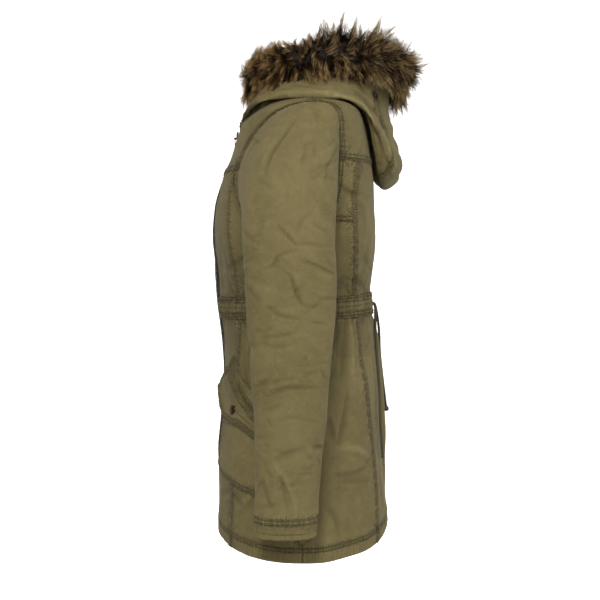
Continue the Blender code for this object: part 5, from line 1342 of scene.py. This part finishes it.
def makeFur():
    azimuth = np.linspace(0, 360, 120, endpoint=False)[:, None]
    turn = np.linspace(0, 1, 40, endpoint=False)[None]
    core = furSection(azimuth, turn, furCut["core"])
    roll = meshPiece("fur_trim", core.reshape(-1, 3), gridFaces(120, 40, True, True)[:, ::-1], backing)
    addTo(roll, "fur_trim")
    tree, named = furTree()
    count = furCut["pieces"]
    arc = 360 / count
    for part in range(count):
        fine = np.linspace(part * arc, (part + 1) * arc, 61)[:, None]
        around = np.linspace(0, 1, 61)[None]
        base = furSection(fine, around, furCut["core"] * 0.96)
        ahead = np.cos(np.radians(fine))
        beside = (around + 0.45) % 1.0 - 0.5
        reach = (furCut["reach"] + furCut["frontReach"] * eased(ahead * 1.4 + 0.2) * hump(around - 0.13, 0.1)
            + furCut["frontFlat"] * eased((ahead - 0.55) / 0.35) * hump(beside, 0.16)
            + (furCut["lowReach"] * eased(ahead + 0.8) + furCut["backReach"] * eased(-ahead * 1.3))
            * hump(around - 0.82, 0.13))
        parted = furCut["part"] * (0.45 + 0.55 * eased(ahead + 0.6)) * np.sin(np.pi
            * np.clip(beside / 0.24, -1, 1))
        tipAt = furSection(fine + furCut["combRound"] * np.sin(np.radians(2 * fine)),
            around - furCut["combOver"] + parted, reach)
        rise = np.interp(np.minimum(fine % 360, 360 - fine % 360), *np.array(furCut["rise"], float).T)
        tipAt[..., 2] += rise * hump(around - 0.2, 0.15)
        tipAt[..., 2] += furCut["hang"] * eased(ahead + 0.7) * hump(around - 0.84, 0.1)
        comb = (tipAt - base) * mm
        size = np.linalg.norm(np.cross(base[1:, :-1] - base[:-1, :-1], base[:-1, 1:] - base[:-1, :-1]),
            axis=-1).sum()
        piece = meshPiece(f"fur_strands_{part + 1}", base.reshape(-1, 3),
            gridFaces(61, 61, False, False)[:, ::-1], fur, {"comb": comb.reshape(-1, 3)})
        strands = furCut["strands"] // 1
        piece = grown(piece, tree, named, {"Density": strands / (size * mm * mm),
            "Width": furCut["width"] * mm, "Clump Size": furCut["clump"] * mm, "Gather": furCut["gather"],
            "Stray": furCut["stray"] * mm, "Droop": furCut["droop"], "Seed": furCut["seed"] + part})
        addTo(piece)
        print(piece.name, len(piece.data.polygons))
    print("fur made")


# Pockets
pocketCut = {
    "pocketTop": [(36, -462), (47, -447), (57, -472), (68, -503), (79, -536), (89, -562)],
    "pocketLow": [(36, -592), (43, -604), (55, -610), (67, -617), (79, -621), (91, -622)],
    "bandTop": [(50, -419), (58, -440), (67, -463), (79, -494), (90, -525)],
    "bandLow": [(44.5, -435), (56, -465), (68, -497), (79, -530), (89, -556)],
    "flapTop": [(44.5, -437), (56, -467), (68, -499), (79, -532), (87, -553)],
    "flapLow": [(29, -474), (45, -513), (60, -521), (71, -537), (85, -566)],
    "gap": 1.2, "cloth": 1.8, "swell": 4.0, "flapGap": 4.2, "flapLift": 3.2, "cornerLift": 4.5,
    "snapAlong": 0.36, "snapDown": 0.52,
}


def patchPlace(top, low, along, down):
    first = curveThrough(pocketCut[top], np.asarray(along, float) * (len(pocketCut[top]) - 1))
    second = curveThrough(pocketCut[low], np.asarray(along, float) * (len(pocketCut[low]) - 1))
    down = np.asarray(down, float)[..., None]
    return first * (1 - down) + second * down


def pocketLift(along, down):
    return pocketCut["gap"] + pocketCut["swell"] * (np.sin(np.pi * along) * np.sin(np.pi * down)) ** 0.7 * down


def flapLift(along, down):
    return pocketCut["flapGap"] + pocketCut["flapLift"] * down + pocketCut["cornerLift"] * down * (1
        - along) ** 2


def patchPiece(name, top, low, liftOf, kinds, mirror, seed, thick=0.0, wave=0.4):
    def surface(along, down):
        spot = patchPlace(top, low, along, down)
        return plainBody(spot[..., 0], spot[..., 1])

    downs = np.linspace(0, 1, 40)
    along, down = gridBetween(surface, line(0.0, downs), line(1.0, downs), kinds, 2.6, 2.6)
    spot = patchPlace(top, low, along, down)
    angle, level = spot[..., 0], spot[..., 1]
    if mirror:
        angle = 360 - angle
    base, normal = plainBody(angle, level), bodyNormal(angle, level)
    out = foldHeight(angle, level) + liftOf(along, down) + pocketCut["cloth"]
    out = out + wave * unevenness(base, (14, 14, 18), 60)
    piece = sewn(name, base, normal, out, kinds, seed=seed, group="pockets", thick=thick, lip=2.6)
    addTo(piece, name)
    declareSheet(piece)
    return piece


def turnedRing(name, profile, centre, axis, sides, material, closed=False):
    # a profile of radius and height, turned about an axis
    axis = unit(np.asarray(axis, float))
    helper = np.array([1.0, 0, 0]) if abs(axis[0]) < 0.9 else np.array([0, 1.0, 0])
    first = unit(np.cross(axis, helper))
    second = np.cross(axis, first)
    turn = np.linspace(0, 2 * np.pi, sides, endpoint=False)
    circle = np.cos(turn)[:, None] * first + np.sin(turn)[:, None] * second
    points = np.stack([centre + axis * h + r * circle for r, h in profile], axis=1)
    rows = len(profile)
    faces = gridFaces(sides, rows, True, closed).tolist()
    if not closed:
        faces.append([i * rows for i in range(sides)][::-1])
        faces.append([i * rows + rows - 1 for i in range(sides)])
    volume = 0.0
    flatPoints = points.reshape(-1, 3) - centre
    for face in faces:
        for i in range(1, len(face) - 1):
            volume += np.dot(flatPoints[face[0]], np.cross(flatPoints[face[i]], flatPoints[face[i + 1]]))
    if volume < 0:
        faces = [face[::-1] for face in faces]
    piece = meshPiece(name, points.reshape(-1, 3), faces, material)
    piece.data.set_sharp_from_angle(angle=math.radians(42))
    return piece


def makePockets():
    for (side, mirror), seed in zip(bothSides, (21.0, 27.0)):
        patchPiece(f"pocket_{side}", "pocketTop", "pocketLow", pocketLift,
            edges("patch", "patch", "none", "patch"), mirror, seed)
        allRound = edges(*["patch"] * 4)
        patchPiece(f"pocket_band_{side}", "bandTop", "bandLow", lambda a, d: pocketCut["gap"] + 0 * a,
            allRound, mirror, seed + 1)
        patchPiece(f"pocket_flap_{side}", "flapTop", "flapLow", flapLift, allRound, mirror, seed + 2,
            thick=1.7, wave=0.8)

        def onFlap(along, down, out=0.0):
            spot = patchPlace("flapTop", "flapLow", along, down)
            angle = 360 - spot[..., 0] if mirror else spot[..., 0]
            return body(angle, spot[..., 1], flapLift(along, down) + pocketCut["cloth"] + out)

        along, down = np.array(pocketCut["snapAlong"]), np.array(pocketCut["snapDown"])
        here = onFlap(along, down)
        facing = np.cross(onFlap(along, down + 0.01) - here, onFlap(along + 0.01, down) - here)
        facing = unit(facing * (-1 if mirror else 1))
        profile = [(6.4, 0.3), (6.9, 0.7), (7.0, 1.3), (6.8, 1.9), (6.3, 2.25), (5.7, 2.35), (5.3, 2.1),
            (4.9, 2.1), (4.4, 2.6), (3.6, 3.0), (2.4, 3.2), (1.2, 3.28), (0.3, 3.3)]
        snap = turnedRing(f"snap_{side}", profile, here, facing, 40, bronze)
        addTo(snap, f"snap_{side}")
        # buttonhole above the snap: a ring of close stitches
        turn = np.linspace(0, 2 * np.pi, 40)
        ring = onFlap(along - 0.01 + 0.012 * np.cos(turn), down - 0.27 + 0.075 * np.sin(turn), 0.15)
        threadLines.setdefault("buttonholes", []).append(ring)
    print("pockets made")


# Zip
zipCut = {
    # level, and how far the tapes stand forward of the cloth there
    "proud": [(-698, 1.0), (-640, 1.2), (-575, 4.5), (-520, 4.0), (-450, 3.0), (-400, 5.0), (-340, 7.5),
              (-300, 7.5), (-262, 5.0), (-200, 4.2), (-160, 3.4), (-120, 1.4), (-61, 1.2)],
    "toothPitch": 2.4, "toothWidth": 3.6, "toothHeight": 1.3, "toothThick": 1.3, "sliderLevel": -74,
}


def zipFront(level, x, out):
    # the zip's front at a level and a distance from the middle
    base = body(zipAngle(level), level, 0.0)
    proud = smoothThrough([p[0] for p in zipCut["proud"]], [p[1] for p in zipCut["proud"]], level)
    normal = bodyNormal(np.zeros(np.shape(level)), level)
    ridge = 1 - (np.abs(x) / bodyCut["zipHalf"]) ** 2
    point = np.stack([np.full(np.shape(level), x), base[..., 1], base[..., 2]], axis=-1)
    return point + normal * (out + proud * (0.15 + 0.85 * ridge))[..., None]


def makeZip():
    levels = np.linspace(bodyCut["hem"] + 8, bodyCut["neck"] - 4, 180)
    xs = [0.25, 0.9, 2.0, 3.5, 5.0, 6.2, 6.9]
    outer = np.stack([zipFront(levels, x, 0.0 if x > 2.5 else 0.35) for x in xs])
    for side, way in (("left", 1), ("right", -1)):
        turned = np.array([way, 1, 1])
        kinds = edges("free", "none", "none", "none")
        normal = np.broadcast_to(bodyNormal(np.zeros(len(levels)), levels)[None], outer.shape) * turned
        piece = sewn(f"zip_tape_{side}", outer * turned, normal, np.zeros(outer.shape[:2]), kinds, tape,
            thick=1.2)
        addTo(piece, f"zip_tape_{side}")
        piece["cutWidth"] = 10.5 * mm  # with the part of it that is sewn under the front
        declareSheet(piece)
    tree, named = rowTree(
        "zip teeth", {"Pitch": 0.0024, "Width": 0.0036, "Height": 0.0013, "Depth": 0.0013},
        "GeometryNodeMeshCube", lambda add, of: {
            "Size": add("CombineXYZ", {0: of["Width"], 1: of["Depth"], 2: of["Height"]})}, bronze)
    lines = []
    for way in (-1, 1):
        shift = 0.6 * way
        along = np.linspace(bodyCut["hem"] + 12 + shift, bodyCut["neck"] - 8 + shift, 260)
        at = zipFront(along, 0.0, 0.85)
        at[:, 0] = 0.85 * way
        lines.append(at)
    teeth = grown(linesMesh("zip_teeth", lines), tree, named, {"Pitch": zipCut["toothPitch"] * mm,
        "Width": zipCut["toothWidth"] * mm / 1.6, "Height": zipCut["toothHeight"] * mm,
        "Depth": zipCut["toothThick"] * mm})
    addTo(teeth)
    for node, owner in (("zip_slider", "parka"), ("zip_pull_tab", "pull_tab")):
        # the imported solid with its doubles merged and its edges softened
        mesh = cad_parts[node].data.copy()
        piece = linked(f"{node}_soft", mesh)
        mesh.materials.clear()
        mesh.materials.append(bronze)
        weld = piece.modifiers.new("weld", "WELD")
        weld.merge_threshold = 0.00002
        softened(piece, 0.35, 50, limit_method="ANGLE", angle_limit=math.radians(35))
        addTo(piece, node, owner)
    print("zip made")


def linesMesh(name, lines):
    # a mesh of edges alone, for the node trees that set pieces along it
    points = np.concatenate(lines) * mm
    pairs, start = [], 0
    for one in lines:
        pairs += [(start + i, start + i + 1) for i in range(len(one) - 1)]
        start += len(one)
    mesh = bpy.data.meshes.new(name)
    mesh.from_pydata(points.tolist(), pairs, [])
    return linked(name, mesh)


# Drawcords
cordCut = {
    "diameter": 4.6, "eyeletLevel": -353.0, "eyeletOut": 2.7, "step": 11.0,
    # angle, level and distance from the cloth
    "left": [
        (176.5, -353.0, 3.4), (176.6, -353.8, 7.6), (176.2, -359, 9.8), (173.0, -371, 9.0), (167.5, -392, 6.6),
        (160.5, -430, 5.0), (155.5, -480, 4.6), (152.5, -530, 4.4), (151.0, -582, 5.0),
    ],
    "right": [(183.5, -353.0, 3.4), (183.5, -353.8, 7.6), (184.2, -359, 9.8), (186.5, -374, 8.0),
              (190.0, -396, 5.0), (191.5, -430, 3.6), (191.5, -470, 4.0), (191.0, -520, 6.4)],
}


def cordRoute(places):
    # a cord's middle line, with its points close together where it leaves the eyelet
    angle, level, out = np.array(places, float).T
    at = body(angle, level, out)
    fine = curveThrough(at, np.linspace(0, len(at) - 1, 400))
    run = lengthAlong(fine)
    near = np.linspace(0, 22, 9)
    far = np.linspace(22, run[-1], int((run[-1] - 22) / cordCut["step"]) + 2)[1:]
    want = np.concatenate([near, far])
    return pointsAlong(fine, run, want)


def braidedTube(name, route, radius, sides=20, step=1.0, braid=0.22):
    # a tube along the route, with the diamonds of a braid raised on it and painted shade between them
    fine = curveThrough(route, np.linspace(0, len(route) - 1, 12 * len(route)))
    run = lengthAlong(fine)
    want = np.linspace(0, run[-1], int(run[-1] / step))
    at = pointsAlong(fine, run, want)
    tangent = unit(np.gradient(at, axis=0))
    side = unit(np.cross(tangent[0], (1.0, 0.2, 0.1)))
    rings, braidShade = [], []
    turn = np.linspace(0, 2 * np.pi, sides, endpoint=False)
    for k, (here, way) in enumerate(zip(at, tangent)):
        side = unit(side - way * np.dot(side, way))
        other = np.cross(way, side)
        one = np.sin(4 * turn + want[k] * 1.15)
        two = np.sin(4 * turn - want[k] * 1.15)
        raised = np.maximum(one, two)
        r = radius - braid + braid * raised
        rings.append(here + (r * np.cos(turn))[:, None] * side + (r * np.sin(turn))[:, None] * other)
        # painted shade in the hollows between the raised diamonds
        braidShade.append(np.clip(0.5 - raised, 0, 1))
    points = np.stack(rings)
    faces = gridFaces(len(at), sides, False, True).tolist()
    faces += [list(range(sides)), [(len(at) - 1) * sides + i for i in range(sides)][::-1]]
    middle = points.mean(axis=1, keepdims=True)
    facing = np.cross(points[1, 0] - points[0, 0], points[0, 1] - points[0, 0])
    if np.dot(facing, points[0, 0] - middle[0, 0]) < 0:
        faces = [face[::-1] for face in faces]
    return meshPiece(name, points.reshape(-1, 3), faces, cordBraid, {"dark": np.stack(braidShade).reshape(-1)})


def eyelet(name, at, facing):
    profile = [(2.9, 0.0), (5.2, 0.0), (5.45, 0.15), (5.3, 0.6), (4.9, 1.05), (4.3, 1.35), (3.7, 1.3),
        (3.2, 1.0), (2.9, 0.5)]
    return addTo(turnedRing(name, profile, at, facing, 32, bronze, closed=True), name)


def makeCords():
    for side, ending in (("left", "drawcord_knot_left"), ("right", "drawcord_bead_right")):
        places = cordCut[side]
        route = cordRoute(places)
        tube = braidedTube(f"drawcord_{side}", route, cordCut["diameter"] / 2)
        addTo(tube, f"drawcord_{side}")
        way = unit(route[-1] - route[-2])
        if side == "left":
            # a thumb knot: the cord's end wound once round itself
            turn = np.linspace(0, 2 * np.pi, 48, endpoint=False)
            helper = unit(np.cross(way, (1.0, 0, 0)))
            third = np.cross(way, helper)
            loop = np.stack([np.sin(turn) + 2 * np.sin(2 * turn), np.cos(turn) - 2 * np.cos(2 * turn),
                -1.4 * np.sin(3 * turn)], axis=-1)
            centre = route[-1] + way * 2.8
            path = centre + 0.62 * (loop[:, :1] * helper * 0.95 + loop[:, 1:2] * way * 0.72 + loop[:, 2:]
                * third)
            path = np.concatenate([path, path[:2]])
            end = braidedTube(ending, path, 1.5, sides=12, step=0.8, braid=0.12)
        else:
            profile = [(1.6, 0.2), (2.6, 0.4), (4.2, 1.3), (4.6, 2.3), (4.6, 6.7), (4.2, 7.7), (2.6, 8.6),
                (1.6, 8.8)]
            end = turnedRing(ending, profile, route[-1], way, 6, beadPlastic)
            softened(end, 0.4, 40)
        addTo(end, ending)
        angle, level = np.array(places[0][0]), np.array(cordCut["eyeletLevel"])
        eyelet(f"drawcord_eyelet_{side}", body(angle, level, cordCut["eyeletOut"]), bodyNormal(angle, level))
    azimuth, share, out = hoodEyelet
    for side, where in (("left", azimuth), ("right", 360 - azimuth)):
        facing = hoodNormal(np.array(where), np.array(share))
        eyelet(f"hood_eyelet_{side}", hood(np.array(where), np.array(share)) + facing * out, facing)
    print("cords and eyelets made")


# Stitches
stitchSizes = {"thread": 0.38, "seams": (3.4, 2.5), "buttonholes": (0.9, 0.8)}  # radius; pitch and length


def makeStitches():
    tree, named = rowTree(
        "stitches", {"Pitch": 0.0034, "Length": 0.0025, "Thread": 0.0003}, "GeometryNodeMeshCylinder",
        lambda add, of: {"Vertices": 3, "Radius": of["Thread"], "Depth": of["Length"]}, thread,
        fill_type="NGON")
    for group, lines in threadLines.items():
        pitch, length = stitchSizes.get(group, stitchSizes["seams"])
        piece = grown(linesMesh(f"stitches_{group}", lines), tree, named,
            {"Pitch": pitch * mm, "Length": length * mm, "Thread": stitchSizes["thread"] * mm})
        addTo(piece)
        print(piece.name, len(piece.data.polygons))


# Camera, lights and floor; places in metres
cameraSizes = {"eye": (1.75, 0.0, -0.25), "aim": (0.0, 0.0, -0.340), "lens": 64.0, "sensor": 36.0, "far": 30}
studio = {
    "floor": -1.12, "wallAt": -1.2, "bend": 0.9, "far": 4.0, "half": 6.0, "glow": 0.85, "world": 0.39,
    # each lamp's place, what it aims at, its width and its power
    "lamps": {"key": ((2.0, -0.3, 1.2), (0, 0, -0.35), 0.6, 38.6),
              "fill": ((2.4, 0.0, -0.1), (0, 0, -0.3), 1.4, 17.2),
              "front": ((0.2, -2.2, 0.2), (0, 0, -0.3), 1.6, 0.5),
              "back": ((0.5, 2.2, 0.6), (0, 0, -0.3), 1.4, 20.0)},
}


def linkFacing(name, data, place, aim):
    # a camera or a lamp at one place, facing another
    thing = linked(name, data)
    place = np.array(place, float)
    back = unit(place - np.array(aim, float))
    right = unit(np.cross((0, 0, 1.0), back))
    turn = np.eye(4)
    turn[:3] = np.stack([right, np.cross(back, right), back, place], axis=1)
    thing.matrix_world = Matrix(turn.tolist())
    return thing


def makeStudio():
    data = bpy.data.cameras.new("camera")
    data.lens, data.sensor_width, data.clip_end = (cameraSizes[key] for key in ("lens", "sensor", "far"))
    scene.camera = linkFacing("camera", data, cameraSizes["eye"], cameraSizes["aim"])
    # pale paint, glowing where the floor lies behind the coat
    material, add, shader = startMaterial("white painted floor")
    x = add("SeparateXYZ", {0: add("TexCoord", out="Object")})
    behind = add("MapRange", {0: x, 1: -0.74, 2: -0.6, 3: 1.0, 4: 0.0}, **softly)
    colour = add("Mix", {0: behind, 6: linear("#b4b4b4"), 7: linear("#f4f4f4")}, 2, data_type="RGBA")
    glow = add("Math", {0: behind, 1: studio["glow"]}, operation="MULTIPLY")
    fill(shader, {"Base Color": colour, "Roughness": 0.9, "Emission Color": (1, 1, 1, 1),
        "Emission Strength": glow})
    # a floor that sweeps up into a wall behind the coat
    wall, bend, far = studio["wallAt"], studio["bend"], studio["far"]
    sweep = [(far, 0.0), (wall, 0.0)] + [(wall - bend * math.sin(a), bend - bend * math.cos(a))
        for a in np.linspace(0, math.pi / 2, 12)] + [(wall - bend, far)]
    points = np.array([(x, y, studio["floor"] + z) for x, z in sweep
        for y in (-studio["half"], studio["half"])])
    faces = [(2 * i, 2 * i + 1, 2 * i + 3, 2 * i + 2) for i in range(len(sweep) - 1)]
    meshPiece("floor", points / mm, faces, material)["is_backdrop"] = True
    world = bpy.data.worlds.new("studio")
    scene.world = world
    world.use_nodes = True
    add = partial(addNode, world.node_tree)
    up = add("SeparateXYZ", {0: add("TexCoord", out="Generated")}, 2)
    strength = add("MapRange", {0: up, 1: -0.5, 2: 0.8, 3: 0.25 * studio["world"], 4: studio["world"]},
        **softly)
    fill(world.node_tree.nodes["Background"], {"Color": (1, 1, 1, 1), "Strength": strength})
    for name, (place, aim, size, power) in studio["lamps"].items():
        lamp = bpy.data.lights.new(name, "AREA")
        lamp.shape, lamp.size, lamp.energy = "DISK", size, power
        linkFacing(name, lamp, place, aim)
    scene.view_settings.view_transform = "Standard"
    print("studio made")


makeCords()
makeUpperBody()
makeCasing()
makeSkirt()
makeSleeves()
makeHood()
makeFur()
makePockets()
makeZip()
makeStitches()
makeStudio()

triangles = {o.name: sum(len(p.vertices) - 2 for p in o.data.polygons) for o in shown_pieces() if o.type == "MESH"
    and not o.hide_render}
print("triangles", sum(triangles.values()), sorted(triangles.items(), key=lambda item: -item[1])[:12])
